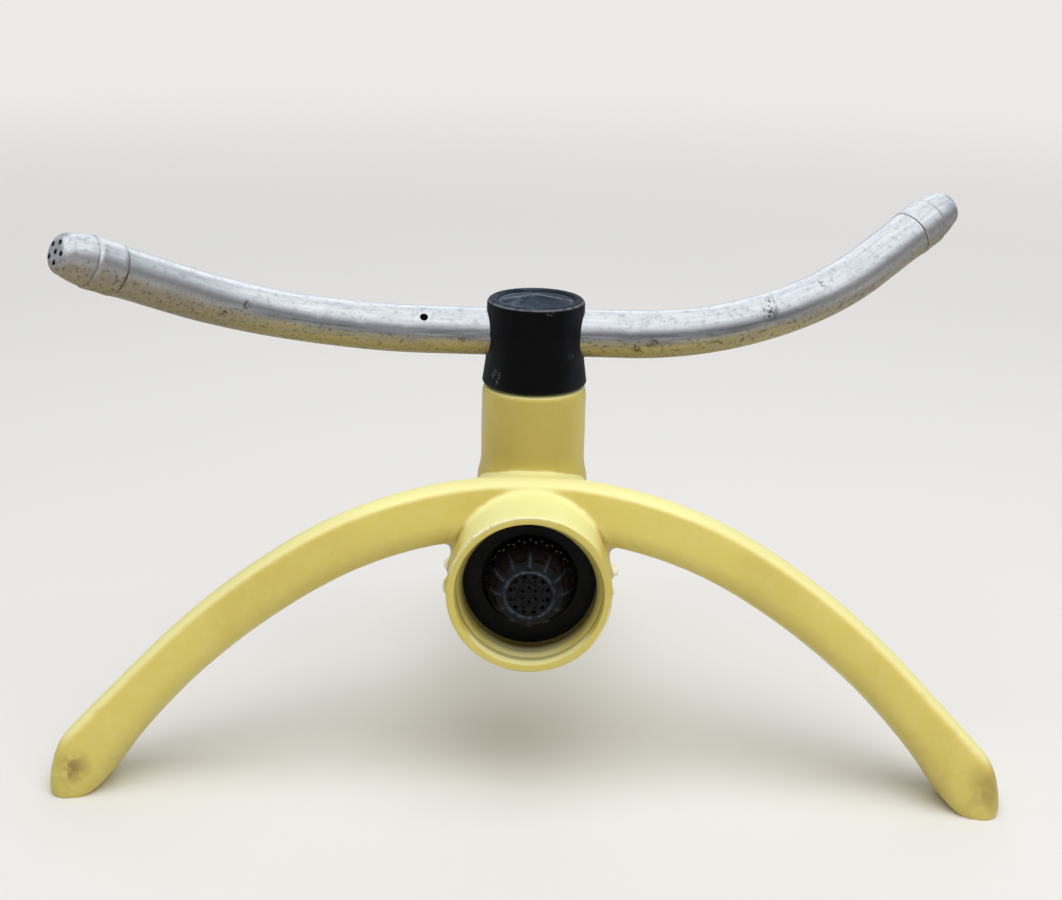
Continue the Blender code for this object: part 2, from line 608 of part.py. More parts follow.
def strainer_slots():
    # Rows of windows between the ribs, then the openings of the end disc
    mesh = bpy.data.meshes.new("strainer_slots")
    shape = bmesh.new()
    span = STRAINER_DOME_REACH - STRAINER_WALL - WASHER_FACE_REACH
    row_pitch = span / STRAINER_SLOT_ROWS
    slot_height = row_pitch - STRAINER_RING_WIDTH
    for row in range(STRAINER_SLOT_ROWS):
        middle = WASHER_FACE_REACH + row_pitch * (row + 0.5)
        radius = strainer_radius(middle)
        for rib in range(STRAINER_RIBS):
            place = Matrix.Rotation(2.0 * math.pi * (rib + 0.5) / STRAINER_RIBS, 4, "Z")
            place = place @ Matrix.Translation((radius, 0.0, middle))
            window = Matrix.Diagonal((STRAINER_WALL * 4.0, STRAINER_SLOT_WIDTH, slot_height, 1.0))
            bmesh.ops.create_cube(shape, size=1.0, matrix=place @ window)
    ring_radius = (STRAINER_DISC_RADIUS - STRAINER_WALL) / 2.0
    for hole in range(STRAINER_DISC_HOLES):
        angle = 2.0 * math.pi * hole / STRAINER_DISC_HOLES
        across = ring_radius * math.cos(angle)
        up = ring_radius * math.sin(angle)
        low = (across, up, STRAINER_DOME_REACH - STRAINER_WALL * 2.0)
        high = (across, up, STRAINER_DOME_REACH + STRAINER_WALL)
        add_cylinder(shape, STRAINER_DISC_HOLE_RADIUS, low, high, 8)
    for rib in range(STRAINER_RIBS):
        angle = 2.0 * math.pi * (rib + 0.5) / STRAINER_RIBS
        radius = STRAINER_DISC_RADIUS - STRAINER_RING_WIDTH
        across = radius * math.cos(angle)
        up = radius * math.sin(angle)
        low = (across, up, STRAINER_DOME_REACH - STRAINER_WALL * 2.0)
        high = (across, up, STRAINER_DOME_REACH + STRAINER_WALL)
        add_cylinder(shape, STRAINER_DISC_HOLE_RADIUS, low, high, 6)
    shape.to_mesh(mesh)
    shape.free()
    return face_inlet(add_cutter("strainer_slots", mesh))


def make_inlet_strainer():
    mesh = profile_mesh("inlet_strainer", strainer_outline(), False)
    strainer = turn(add_part("inlet_strainer", mesh, (0.05, 0.04, 0.04), 0.5), STRAINER_RIBS * 2)
    face_inlet(strainer)
    combine(strainer, strainer_slots(), "DIFFERENCE")


def make_bearing(rotor):
    thrust_inner = STEM_HOLE_RADIUS
    nylon = (0.75, 0.73, 0.68)
    rubber = (0.02, 0.02, 0.02)
    brass = (0.72, 0.50, 0.20)
    top = LOWER_THRUST_FOOT + THRUST_WASHER_THICKNESS
    make_ring("lower_thrust_washer", thrust_inner, THRUST_OUTER_RADIUS, LOWER_THRUST_FOOT, top, nylon, 0.4)
    top = THRUST_SEAL_FOOT + THRUST_SEAL_THICKNESS
    make_ring("thrust_seal", thrust_inner, THRUST_OUTER_RADIUS, THRUST_SEAL_FOOT, top, rubber, 0.7)
    top = UPPER_THRUST_FOOT + THRUST_WASHER_THICKNESS
    make_ring("upper_thrust_washer", thrust_inner, THRUST_OUTER_RADIUS, UPPER_THRUST_FOOT, top, nylon, 0.4)
    make_ring("wear_washer", thrust_inner, THRUST_OUTER_RADIUS, WEAR_WASHER_FOOT, RISER_TOP, nylon, 0.4)
    groove_middle = (BUSH_FOOT + BUSH_TOP) / 2.0
    groove_radius = THRUST_OUTER_RADIUS - BUSH_GROOVE_DEPTH
    groove_top = groove_middle + BUSH_GROOVE_HEIGHT / 2.0
    groove_foot = groove_middle - BUSH_GROOVE_HEIGHT / 2.0
    outline = [(THRUST_OUTER_RADIUS, BUSH_TOP), (THRUST_OUTER_RADIUS, groove_top)]
    outline += [(groove_radius, groove_top), (groove_radius, groove_foot)]
    outline += [(THRUST_OUTER_RADIUS, groove_foot)]
    outline += [(THRUST_OUTER_RADIUS, BUSH_FOOT), (thrust_inner, BUSH_FOOT), (thrust_inner, BUSH_TOP)]
    bush = add_part("bearing_bush", profile_mesh("bearing_bush", outline, True), brass, 0.35, 1.0)
    turn(bush, SMALL_ROUND_STEPS)
    ring_radius = groove_radius + SEAT_GAP + BUSH_RING_SECTION_RADIUS
    section = arc((ring_radius, groove_middle), BUSH_RING_SECTION_RADIUS, 0.0, -2.0 * math.pi, 8)[:-1]
    ring = add_part("bush_o_ring", profile_mesh("bush_o_ring", section, True), rubber, 0.6)
    turn(ring, SMALL_ROUND_STEPS)
    top = STEM_GASKET_FOOT + STEM_GASKET_THICKNESS
    inner = STEM_THREAD_RADIUS + SEAT_GAP
    make_ring("stem_gasket", inner, STEM_RADIUS, STEM_GASKET_FOOT, top, (0.35, 0.12, 0.07), 0.8, 0.0, rotor)


def make_stem(rotor):
    flange_top = STEM_FLANGE_FOOT + STEM_FLANGE_THICKNESS
    outline = [(STEM_THREAD_RADIUS, STEM_TOP), (STEM_THREAD_RADIUS, STEM_SHOULDER_HEIGHT)]
    outline += [(STEM_RADIUS, STEM_SHOULDER_HEIGHT), (STEM_RADIUS, flange_top)]
    outline += [(STEM_FLANGE_RADIUS, flange_top), (STEM_FLANGE_RADIUS, STEM_FLANGE_FOOT)]
    outline += [(STEM_BORE_RADIUS, STEM_FLANGE_FOOT), (STEM_BORE_RADIUS, STEM_TOP)]
    mesh = profile_mesh("rotor_stem", outline, True)
    turn(add_part("rotor_stem", mesh, (0.72, 0.50, 0.20), 0.3, 1.0, rotor), SMALL_ROUND_STEPS)


def hub_outline():
    # Flared foot, waist at the arms and a rim that opens a little under the rounded lip
    lip_foot = HUB_TOP - HUB_LIP_HEIGHT
    crest = HUB_RIM_RADIUS - HUB_LIP_WIDTH / 2.0
    points = [(0.0, HUB_TOP)]
    for step in range(5):
        angle = math.radians(90.0) * (1.0 - step / 4.0)
        across = crest + (HUB_RIM_RADIUS - crest) * math.cos(angle)
        points.append((across, lip_foot + HUB_LIP_HEIGHT * math.sin(angle)))
    waist_high = HUB_FOOT + HUB_WAIST_HIGH
    for share in (0.33, 0.67, 1.0):
        height = lip_foot + (waist_high - lip_foot) * share
        radius = HUB_WAIST_RADIUS + (HUB_RIM_RADIUS - HUB_WAIST_RADIUS) * (1.0 - share) ** HUB_RIM_POWER
        points.append((radius, height))
    points.append((HUB_WAIST_RADIUS, HUB_FOOT + HUB_WAIST_LOW))
    points.append((HUB_FOOT_RADIUS - HUB_FLARE_TOP_INSET, HUB_FOOT + HUB_FLARE_TOP_HEIGHT))
    points.append((HUB_FOOT_RADIUS - HUB_FLARE_INSET, HUB_FOOT + HUB_FLARE_HEIGHT))
    points.append((HUB_FOOT_RADIUS, HUB_FOOT + SEAT_GAP))
    points.append((HUB_FOOT_RADIUS - SEAT_GAP, HUB_FOOT))
    points.append((0.0, HUB_FOOT))
    return points


def hub_bores():
    # Stem bore from below, cap seat from above and the cross bore for the two arms
    below = HUB_FOOT - SEAT_GAP
    above = HUB_TOP + SEAT_GAP
    thread_bore = STEM_THREAD_RADIUS + SEAT_GAP
    lower = [(0.0, ARM_HEIGHT), (thread_bore, ARM_HEIGHT), (thread_bore, STEM_THREAD_BORE_FOOT)]
    lower += [(STEM_HOLE_RADIUS, STEM_THREAD_BORE_FOOT), (STEM_HOLE_RADIUS, below), (0.0, below)]
    stem_bore = turn(add_cutter("stem_bore", profile_mesh("stem_bore", lower, False)), SMALL_ROUND_STEPS)
    spigot_bore = CAP_SPIGOT_RADIUS + SEAT_GAP
    upper = [(0.0, above), (CAP_SEAT_RADIUS, above)]
    upper += [(CAP_SEAT_RADIUS, CAP_SEAT_FLOOR), (spigot_bore, CAP_SEAT_FLOOR)]
    upper += [(spigot_bore, ARM_HEIGHT + TUBE_RADIUS / 2.0), (0.0, ARM_HEIGHT + TUBE_RADIUS / 2.0)]
    cap_bore = turn(add_cutter("cap_bore", profile_mesh("cap_bore", upper, False)))
    start = (-HUB_FOOT_RADIUS, 0.0, ARM_HEIGHT)
    end = (HUB_FOOT_RADIUS, 0.0, ARM_HEIGHT)
    cross_mesh = cylinders_mesh("arm_bore", [(ARM_BORE_RADIUS, start, end)], SMALL_ROUND_STEPS)
    return stem_bore, cap_bore, add_cutter("arm_bore", cross_mesh)


def make_hub(rotor):
    mesh = profile_mesh("rotor_hub", hub_outline(), False)
    hub = turn(add_part("rotor_hub", mesh, (0.02, 0.021, 0.025), 0.55, 0.0, rotor))
    for bore in hub_bores():
        combine(hub, bore, "DIFFERENCE")
    make_hub_cap(rotor)


def make_hub_cap(rotor):
    # A disc with a shallow peak, whose spigot reaches down between the arms' inner ends
    radius = CAP_SEAT_RADIUS - SEAT_GAP
    disc_foot = CAP_SEAT_FLOOR + SEAT_GAP
    edge_top = disc_foot + CAP_EDGE_THICKNESS
    spigot_foot = disc_foot - CAP_SPIGOT_LENGTH
    outline = [(0.0, edge_top + CAP_PEAK_HEIGHT), (radius, edge_top), (radius, disc_foot)]
    outline += [(CAP_SPIGOT_RADIUS, disc_foot), (CAP_SPIGOT_RADIUS, spigot_foot), (0.0, spigot_foot)]
    mesh = profile_mesh("hub_top_cap", outline, False)
    turn(add_part("hub_top_cap", mesh, (0.025, 0.028, 0.035), 0.5, 0.0, rotor), SMALL_ROUND_STEPS)


def arm_point(distance_in, distance_off):
    # A point of the arm's own plane, which is rolled up from the horizontal about the tube's inner run
    lean_out = distance_off * math.cos(TUBE_BEND_ROLL)
    rise = distance_off * math.sin(TUBE_BEND_ROLL)
    return Vector((-distance_in, -lean_out, ARM_HEIGHT + rise))


def bend_point(angle):
    across = TUBE_BEND_START + TUBE_BEND_RADIUS * math.sin(angle)
    off = TUBE_BEND_RADIUS * (1.0 - math.cos(angle))
    return arm_point(across, off)


def past_bend(distance):
    # A point on the straight run that follows the left arm's bend
    return bend_point(TUBE_BEND_ANGLE) + arm_heading() * distance


def arm_path():
    # Centre line of the left arm: radius share and place of each point
    path = [(1.0, arm_point(TUBE_INNER_END, 0.0))]
    for step in range(TUBE_BEND_STEPS + 1):
        path.append((1.0, bend_point(TUBE_BEND_ANGLE * step / TUBE_BEND_STEPS)))
    neck = TUBE_NECK_RADIUS / TUBE_RADIUS
    path.append((1.0, past_bend(TUBE_STRAIGHT_END)))
    path.append((neck, past_bend(TUBE_STRAIGHT_END + TUBE_NECK_TAPER)))
    path.append((neck, past_bend(TUBE_STRAIGHT_END + TUBE_NECK_LENGTH)))
    return path


def arm_heading():
    # Direction in which the left arm leaves its bend
    start = arm_point(0.0, 0.0)
    return (arm_point(math.cos(TUBE_BEND_ANGLE), math.sin(TUBE_BEND_ANGLE)) - start).normalized()


def jet_cutter():
    aim = Vector((0.0, -math.cos(JET_HOLE_ANGLE), math.sin(JET_HOLE_ANGLE)))
    middle = Vector((-JET_HOLE_REACH, 0.0, ARM_HEIGHT))
    start = middle + aim * (TUBE_RADIUS - TUBE_WALL * 2.0)
    end = middle + aim * (TUBE_RADIUS + TUBE_WALL)
    return cylinders_mesh("jet_cutter", [(JET_HOLE_RADIUS, start, end)], 10)


def tube_mesh(name):
    curve = bpy.data.curves.new(name, "CURVE")
    curve.dimensions = "3D"
    curve.bevel_depth = TUBE_RADIUS
    curve.bevel_resolution = TUBE_SIDES_RESOLUTION
    spline = curve.splines.new("POLY")
    path = arm_path()
    spline.points.add(len(path) - 1)
    for point, (share, place) in zip(spline.points, path):
        point.co = (*place, 1.0)
        point.radius = share
    return curve_to_mesh(name, curve)


def cap_outline():
    # Thin pressed cap: open skirt at z = 0, small shoulder, tapered nose, rounded end at z = CAP_LENGTH
    nose_foot = CAP_SKIRT_LENGTH + CAP_SHOULDER_LENGTH
    corner = (CAP_NOSE_RADIUS - CAP_NOSE_ROUNDING, CAP_LENGTH - CAP_NOSE_ROUNDING)
    inner_shoulder = CAP_SHOULDER_RADIUS - CAP_SIDE_WALL
    inner_nose = CAP_NOSE_RADIUS - CAP_SIDE_WALL
    inner_skirt = CAP_OUTER_RADIUS - CAP_SIDE_WALL
    inner_end = CAP_LENGTH - CAP_END_WALL
    outer = [(0.0, CAP_LENGTH)]
    outer += arc(corner, CAP_NOSE_ROUNDING, math.radians(90.0), 0.0, 5)
    outer += [(CAP_SHOULDER_RADIUS, nose_foot), (CAP_OUTER_RADIUS, CAP_SKIRT_LENGTH), (CAP_OUTER_RADIUS, 0.0)]
    inner = [(inner_skirt, 0.0), (inner_skirt, CAP_SKIRT_LENGTH), (inner_shoulder, nose_foot)]
    inner += [(inner_nose, inner_end - CAP_NOSE_ROUNDING / 2.0)]
    inner += [(inner_nose - CAP_NOSE_ROUNDING / 2.0, inner_end), (0.0, inner_end)]
    return outer + inner


def spray_holes():
    low = CAP_LENGTH - CAP_END_WALL * 2.0
    high = CAP_LENGTH + CAP_END_WALL
    rods = [(SPRAY_HOLE_RADIUS, (0.0, 0.0, low), (0.0, 0.0, high))]
    for hole in range(SPRAY_RING_HOLES):
        angle = 2.0 * math.pi * hole / SPRAY_RING_HOLES
        across = SPRAY_RING_RADIUS * math.cos(angle)
        up = SPRAY_RING_RADIUS * math.sin(angle)
        rods.append((SPRAY_HOLE_RADIUS, (across, up, low), (across, up, high)))
    return cylinders_mesh("spray_holes", rods, 8)


def make_arm(side, half_turn, rotor):
    # The right arm is the left one turned half round the rotor's axis
    spin = Matrix.Rotation(half_turn, 4, "Z")
    tube = add_part(side + "_arm_tube", tube_mesh(side + "_arm_tube"), (0.72, 0.73, 0.75), 0.32, 1.0, rotor)
    tube.data.transform(spin)
    wall = tube.modifiers.new("wall", "SOLIDIFY")
    wall.thickness = TUBE_WALL
    wall.offset = -1.0
    wall.use_even_offset = True
    jet = add_cutter(side + "_jet_cutter", jet_cutter())
    jet.data.transform(spin)
    combine(tube, jet, "DIFFERENCE")
    start = past_bend(TUBE_STRAIGHT_END + SEAT_GAP)
    outward = arm_heading().to_track_quat("Z", "Y").to_matrix().to_4x4()
    place = spin @ Matrix.Translation(start) @ outward
    cap_mesh = profile_mesh(side + "_end_cap", cap_outline(), False)
    cap = turn(add_part(side + "_end_cap", cap_mesh, (0.68, 0.69, 0.71), 0.35, 1.0, rotor), SMALL_ROUND_STEPS)
    cap.matrix_world = place
    holes = add_cutter(side + "_spray_holes", spray_holes())
    holes.matrix_world = place
    combine(cap, holes, "DIFFERENCE")


def make_rotor_axis():
    axis = bpy.data.objects.new("rotor_axis", None)
    axis.location = (0.0, 0.0, HUB_FOOT)
    PARTS.objects.link(axis)
    bpy.context.view_layer.update()
    return axis


def centre_footprint():
    # Children follow their parent, so only the other objects are moved
    for placed in list(PARTS.objects) + list(CUTTERS.objects):
        if placed.parent is None:
            placed.location.y += ROTOR_AXIS_Y
    bpy.context.view_layer.update()


def main():
    rotor = make_rotor_axis()
    make_base()
    make_inlet_washer()
    make_inlet_strainer()
    make_bearing(rotor)
    make_stem(rotor)
    make_hub(rotor)
    make_arm("left", 0.0, rotor)
    make_arm("right", math.pi, rotor)
    centre_footprint()


main()
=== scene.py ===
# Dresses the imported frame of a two-arm rotary garden sprinkler.
# Shapes are drawn about the rotor's vertical axis and moved onto the frame's joint when a piece is finished.

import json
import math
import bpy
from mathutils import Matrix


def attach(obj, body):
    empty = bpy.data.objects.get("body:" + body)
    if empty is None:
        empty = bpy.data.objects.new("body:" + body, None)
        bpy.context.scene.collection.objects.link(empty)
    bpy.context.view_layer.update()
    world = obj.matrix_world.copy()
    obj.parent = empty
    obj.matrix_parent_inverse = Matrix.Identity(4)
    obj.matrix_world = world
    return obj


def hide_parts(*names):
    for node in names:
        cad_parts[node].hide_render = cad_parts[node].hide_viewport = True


bl_info = {
    "name": "Garden Sprinkler",
    "version": (1, 0, 0),
    "blender": (4, 5, 0),
    "location": "View3D > Sidebar > Sprinkler",
    "description": "Fine meshes, materials and a studio stage for a jointed garden sprinkler",
    "category": "Object",
}

from functools import partial

import bmesh
import bpy
from bpy.props import FloatProperty, FloatVectorProperty, IntProperty, PointerProperty
from mathutils import Matrix, Vector, noise

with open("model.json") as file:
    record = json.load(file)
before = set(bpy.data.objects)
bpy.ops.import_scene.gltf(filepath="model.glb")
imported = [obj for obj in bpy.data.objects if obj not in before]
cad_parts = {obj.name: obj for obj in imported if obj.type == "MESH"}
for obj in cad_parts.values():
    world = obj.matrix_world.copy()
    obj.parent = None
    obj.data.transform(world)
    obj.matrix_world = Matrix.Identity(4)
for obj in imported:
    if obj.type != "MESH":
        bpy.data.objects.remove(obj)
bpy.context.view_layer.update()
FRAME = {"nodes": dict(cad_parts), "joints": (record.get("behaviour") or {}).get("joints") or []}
AXIS = Vector(FRAME["joints"][0]["pos_m"])
MM = 0.001


def length(name, description, millimetres):
    return FloatProperty(
        name=name, description=description, default=millimetres * MM, unit="LENGTH", precision=5
    )


def angle(name, description, degrees):
    return FloatProperty(
        name=name, description=description, default=math.radians(degrees), unit="ROTATION", subtype="ANGLE"
    )


def colour(name, description, code):
    return FloatVectorProperty(
        name=name, description=description, default=linear(code)[:3], subtype="COLOR", min=0.0, max=1.0
    )


def linear(code):
    # Turns an sRGB hex value into the linear colour that shaders take
    shares = [int(code[start : start + 2], 16) / 255.0 for start in (1, 3, 5)]
    return tuple(s / 12.92 if s <= 0.04045 else ((s + 0.055) / 1.055) ** 2.4 for s in shares) + (1.0,)


class BaseSettings(bpy.types.PropertyGroup):
    crown_height: length("Crown height", "Top of the front legs' arch above the ground", 57.4)
    crown_reach: length("Crown reach", "How far the arch's front edge stands before the rotor's axis", 14.8)
    arch_lean: angle("Arch lean", "How far the arch leans back from upright", 20.0)
    crown_radius: length("Crown radius", "Radius of the upper edge over the crown", 83.5)
    crown_sweep: angle("Crown sweep", "Turn of the upper edge over the crown", 32.0)
    shoulder_radius: length("Shoulder radius", "Radius of the upper edge on the shoulder", 132.0)
    leg_slope: angle("Leg slope", "Slope of the straight run above the foot", 46.0)
    crown_depth: length("Crown depth", "Depth of the leg at the crown", 11.7)
    shoulder_depth: length("Shoulder depth", "Depth of the leg where its straight run starts", 9.4)
    foot_depth: length("Foot depth", "Depth of the leg at the foot", 11.8)
    thickness: length("Leg thickness", "Front to back thickness of a leg", 13.0)
    edge_radius: length("Leg edge radius", "Rounding along a leg's edges", 3.0)
    front_reach: length("Front foot reach", "Middle to the outer end of a front foot", 87.2)
    rear_reach: length("Rear foot reach", "Rotor's axis to the outer end of the rear foot", 80.0)
    rear_drop: length("Rear crown drop", "How much lower the rear leg starts", 2.0)
    rear_sole_cut: length("Rear sole cut", "What the ground takes off the rear foot", 1.0)
    foot_height: length("Foot height", "Height of a foot's outer end in the leg's plane", 10.3)
    rear_foot_height: length("Rear foot height", "Height of the rear foot's outer end", 12.6)
    foot_lean: length("Foot lean", "How far a foot's end leans in at its top", 0.7)
    riser_top: length("Riser top", "Top of the riser above the ground", 70.7)
    riser_radius: length("Riser radius", "Outer radius of the riser", 9.8)
    bearing_radius: length("Bearing bore radius", "Radius of the bearing bore", 7.3)
    bearing_floor: length("Bearing floor", "Height of the bearing bore's floor", 52.0)
    passage_radius: length("Passage radius", "Radius of the water passage under the bearing", 5.5)
    voxel: length("Voxel", "Cell size at which the outer shells are merged", 0.56)


class SocketSettings(bpy.types.PropertyGroup):
    height: length("Axis height", "Height of the hose socket's axis", 39.0)
    reach: length("Reach", "Front of the socket before the rotor's axis", 28.0)
    outer: length("Outer radius", "Outer radius of the socket", 15.0)
    tail: length("Tail radius", "Radius of the tail behind the taper", 10.8)
    straight: length("Straight length", "Length of the socket's full width", 18.0)
    taper: length("Taper length", "Length of the taper behind it", 5.0)
    tail_end: length("Tail end", "How far the tail runs behind the axis", 11.0)
    seam: length("Seam reach", "Where the fine mouth joins the merged shell", 21.2)
    mouth: length("Mouth radius", "Radius of the mouth at its edge", 13.5)
    lead_in: length("Lead-in", "Depth of the mouth's lead-in", 1.2)
    major: length("Thread root", "Radius at the root of the hose thread", 13.2)
    minor: length("Thread crest", "Radius at the crest of the hose thread", 12.2)
    pitch: length("Thread pitch", "Distance between two turns of the thread", 1.8)
    pocket: length("Washer pocket radius", "Radius of the undercut that holds the washer", 12.8)
    chamber: length("Chamber radius", "Radius of the inlet chamber", 8.5)
    seat: length("Seat reach", "Where the strainer's flange sits", 16.3)
    washer_face: length("Washer face reach", "Front face of the hose washer", 20.3)
    washer_thickness: length("Washer thickness", "Thickness of the hose washer", 2.6)
    washer_inner: length("Washer hole radius", "Radius of the washer's hole", 8.6)
    washer_outer: length("Washer radius", "Outer radius of the washer", 12.5)
    dome_radius: length("Dome radius", "Radius of the strainer's dome at its foot", 7.9)
    dome_length: length("Dome length", "How far the dome stands before the washer", 7.5)
    disc_radius: length("Disc radius", "Radius of the strainer's end disc", 4.55)
    flange_radius: length("Flange radius", "Radius of the strainer's flange", 12.0)
    strainer_wall: length("Strainer wall", "Wall of the strainer", 0.9)
    ribs: IntProperty(name="Ribs", description="Ribs of the strainer's dome", default=12, min=6, max=24)


class HubSettings(bpy.types.PropertyGroup):
    foot: length("Hub foot", "Bottom of the hub above the ground", 71.0)
    top: length("Hub top", "Top of the hub's lip above the ground", 87.1)
    foot_radius: length("Foot radius", "Radius at the hub's foot", 9.8)
    waist_radius: length("Waist radius", "Radius at the hub's waist", 9.15)
    waist_low: length("Waist foot", "Height over the hub's foot where the flare ends", 5.4)
    waist_high: length("Waist top", "Height over the hub's foot where the rim starts to open", 10.2)
    rim_radius: length("Rim radius", "Radius under the hub's lip", 9.1)
    lip_width: length("Lip width", "Width of the rounded lip", 2.0)
    lip_height: length("Lip height", "Height of the lip's rounding", 1.0)
    cap_seat: length("Cap seat depth", "Depth of the cap's seat under the lip", 1.5)
    cap_edge: length("Cap edge", "Thickness of the cap at its edge", 0.7)
    cap_peak: length("Cap peak", "How far the cap's middle rises over its edge", 1.3)
    crease: length("Cap crease", "How far the cap's front and back fall beside its ridge", 0.34)


class ArmSettings(bpy.types.PropertyGroup):
    height: length("Arm height", "Height of the tubes' inner runs", 80.6)
    radius: length("Tube radius", "Outer radius of a tube", 4.45)
    wall: length("Tube wall", "Wall of a tube", 0.75)
    inner_end: length("Inner end", "Where a tube starts beside the axis", 4.4)
    bend_start: length("Bend start", "Where a tube's bend starts", 17.5)
    bend_radius: length("Bend radius", "Radius of the bend", 65.0)
    bend_angle: angle("Bend angle", "Turn of the bend", 45.6)
    bend_roll: angle("Bend roll", "How far the bend's plane is rolled up", 32.5)
    straight: length("Straight end", "Straight run after the bend", 12.5)
    neck_inset: length("Neck inset", "How much slimmer the neck under the cap is", 0.55)
    neck_length: length("Neck length", "Length of the neck under the cap", 5.0)
    end_flare: length("End flare", "How much a tube widens where its cap starts", 0.14)
    bend_draw: length("Bend draw", "How much a tube is drawn in through its bend", 0.12)
    jet_radius: length("Jet radius", "Radius of the side jet hole", 0.75)
    jet_reach: length("Jet reach", "Where the side jet hole is", 20.6)
    jet_angle: angle("Jet angle", "How far up the side jet points", 44.0)
    cap_length: length("Cap length", "Length of an end cap", 11.5)
    cap_radius: length("Cap radius", "Radius of an end cap's skirt", 4.7)
    cap_shoulder: length("Shoulder radius", "Radius where an end cap's nose starts", 4.45)
    cap_nose: length("Nose radius", "Radius of an end cap's nose at its end", 3.7)
    cap_skirt: length("Skirt length", "Length of an end cap's skirt", 5.0)
    cap_round: length("Nose rounding", "Rounding of an end cap's nose", 1.8)
    cap_wall: length("Cap wall", "Side wall of an end cap", 0.5)
    hole_radius: length("Spray hole radius", "Radius of a spray hole", 0.5)
    hole_ring: length("Spray ring radius", "Radius of the ring of spray holes", 1.9)


class FinishSettings(bpy.types.PropertyGroup):
    yellow: colour("Yellow", "Clean face of the moulded base", "#CFBF60")
    golden: colour("Golden", "Deeper tone in the moulded base", "#C2AE50")
    worn: colour("Worn", "Scuffed and chipped plastic", "#EFEBC2")
    # Also used for the darker hollows and the painted shade on the right front foot's end
    grime: colour("Grime", "Brown grime in corners and on the feet", "#7A6334")
    black: colour("Black", "Black hub moulding", "#040405")
    # Dust with painted sheen on the hub's top
    dust_and_sheen: colour("Dust", "Slate dust on the black hub", "#1F2935")
    aluminium: colour("Aluminium", "Polished side of the tubes", "#F0F4F8")
    # Partly tarnish, partly painted reflection of the ground under the tubes
    tarnish_and_reflection: colour("Tarnish", "Tarnished underside of the tubes", "#AD9F68")


class StageSettings(bpy.types.PropertyGroup):
    camera_reach: length("Camera reach", "Camera before the rotor's axis", 350.0)
    camera_height: length("Camera height", "Camera above the ground", 169.7)
    camera_side: length("Camera side", "Camera to the side of the rotor's axis", -0.3)
    camera_pitch: angle("Camera pitch", "How far down the camera looks", 17.78)
    camera_roll: angle("Camera roll", "Turn of the camera about its own axis", 1.38)
    lens: FloatProperty(name="Lens", description="Focal length", default=65.59, unit="CAMERA")
    key_watts: FloatProperty(name="Key light", description="Power of the soft light overhead", default=8.8)
    fill_watts: FloatProperty(name="Fill light", description="Power of the soft light in front", default=2.3)
    back_watts: FloatProperty(name="Back light", description="Power of the soft light behind", default=1.7)
    world_strength: FloatProperty(name="World", description="Strength of the world's light", default=0.4)


# ---- Mesh helpers ----


def turned(points, steps, closed=False):
    # Spins an outline of (radius, height) pairs about the Z axis into a closed skin
    bm = bmesh.new()
    corners = [bm.verts.new((radius, 0.0, height)) for radius, height in points]
    edges = [bm.edges.new(pair) for pair in zip(corners, corners[1:])]
    if closed:
        edges.append(bm.edges.new((corners[-1], corners[0])))
    bmesh.ops.spin(
        bm, geom=corners + edges, cent=(0.0, 0.0, 0.0), axis=(0.0, 0.0, 1.0), dvec=(0.0, 0.0, 0.0),
        angle=2.0 * math.pi, steps=steps, use_merge=True, use_normal_flip=False, use_duplicate=False,
    )
    bmesh.ops.remove_doubles(bm, verts=bm.verts, dist=0.000002)
    bmesh.ops.recalc_face_normals(bm, faces=bm.faces)
    return bm


def edge_angle(edge):
    return edge.calc_face_angle(0.0) if len(edge.link_faces) == 2 else 0.0


def soften(bm, width, segments, where=None, clamp=True):
    # Rounds the edges that are sharper than 60 degrees
    edges = [e for e in bm.edges if edge_angle(e) > math.radians(60.0) and (where is None or where(e))]
    round_edges(bm, edges, width, segments, clamp)


def round_edges(bm, edges, width, segments, clamp):
    bmesh.ops.bevel(
        bm, geom=edges, offset=width, offset_type="OFFSET", segments=segments, profile=0.5, affect="EDGES",
        clamp_overlap=clamp, material=-1,
    )


def join(bm, other):
    # Adds another bmesh's shapes and frees it
    mesh = bpy.data.meshes.new("joining")
    other.to_mesh(mesh)
    other.free()
    bm.from_mesh(mesh)
    bpy.data.meshes.remove(mesh)


def working_object(bm):
    mesh = bpy.data.meshes.new("working")
    bm.to_mesh(mesh)
    bm.free()
    worker = bpy.data.objects.new("working", mesh)
    bpy.context.scene.collection.objects.link(worker)
    return worker


def through_modifier(bm, kind, **settings):
    # The shape as one modifier leaves it
    worker = working_object(bm)
    modifier = worker.modifiers.new("shape", kind)
    for name, value in settings.items():
        setattr(modifier, name, value)
    bpy.context.view_layer.update()
    shaped = bmesh.new()
    shaped.from_object(worker, bpy.context.evaluated_depsgraph_get())
    bpy.data.meshes.remove(worker.data)
    return shaped


def cut(bm, cutter):
    # Takes the cutter's shape away
    tool = working_object(cutter)
    shaped = through_modifier(bm, "BOOLEAN", object=tool, operation="DIFFERENCE", solver="EXACT")
    bpy.data.meshes.remove(tool.data)
    return shaped


def moved(bm, matrix):
    bmesh.ops.transform(bm, matrix=matrix, verts=bm.verts)
    return bm


def rods(places, sides=24):
    # Capped rods, each a radius, a start and an end
    bm = bmesh.new()
    for radius, start, end in places:
        axis = Vector(end) - Vector(start)
        turn = axis.to_track_quat("Z", "Y").to_matrix().to_4x4()
        place = Matrix.Translation((Vector(start) + Vector(end)) / 2.0) @ turn
        bmesh.ops.create_cone(
            bm, cap_ends=True, segments=sides, radius1=radius, radius2=radius, depth=axis.length, matrix=place
        )
    return bm


def store(bm, name, values):
    # Keeps one number per vertex for the materials
    layer = bm.verts.layers.float.get(name) or bm.verts.layers.float.new(name)
    for vert, value in zip(bm.verts, values):
        vert[layer] = value


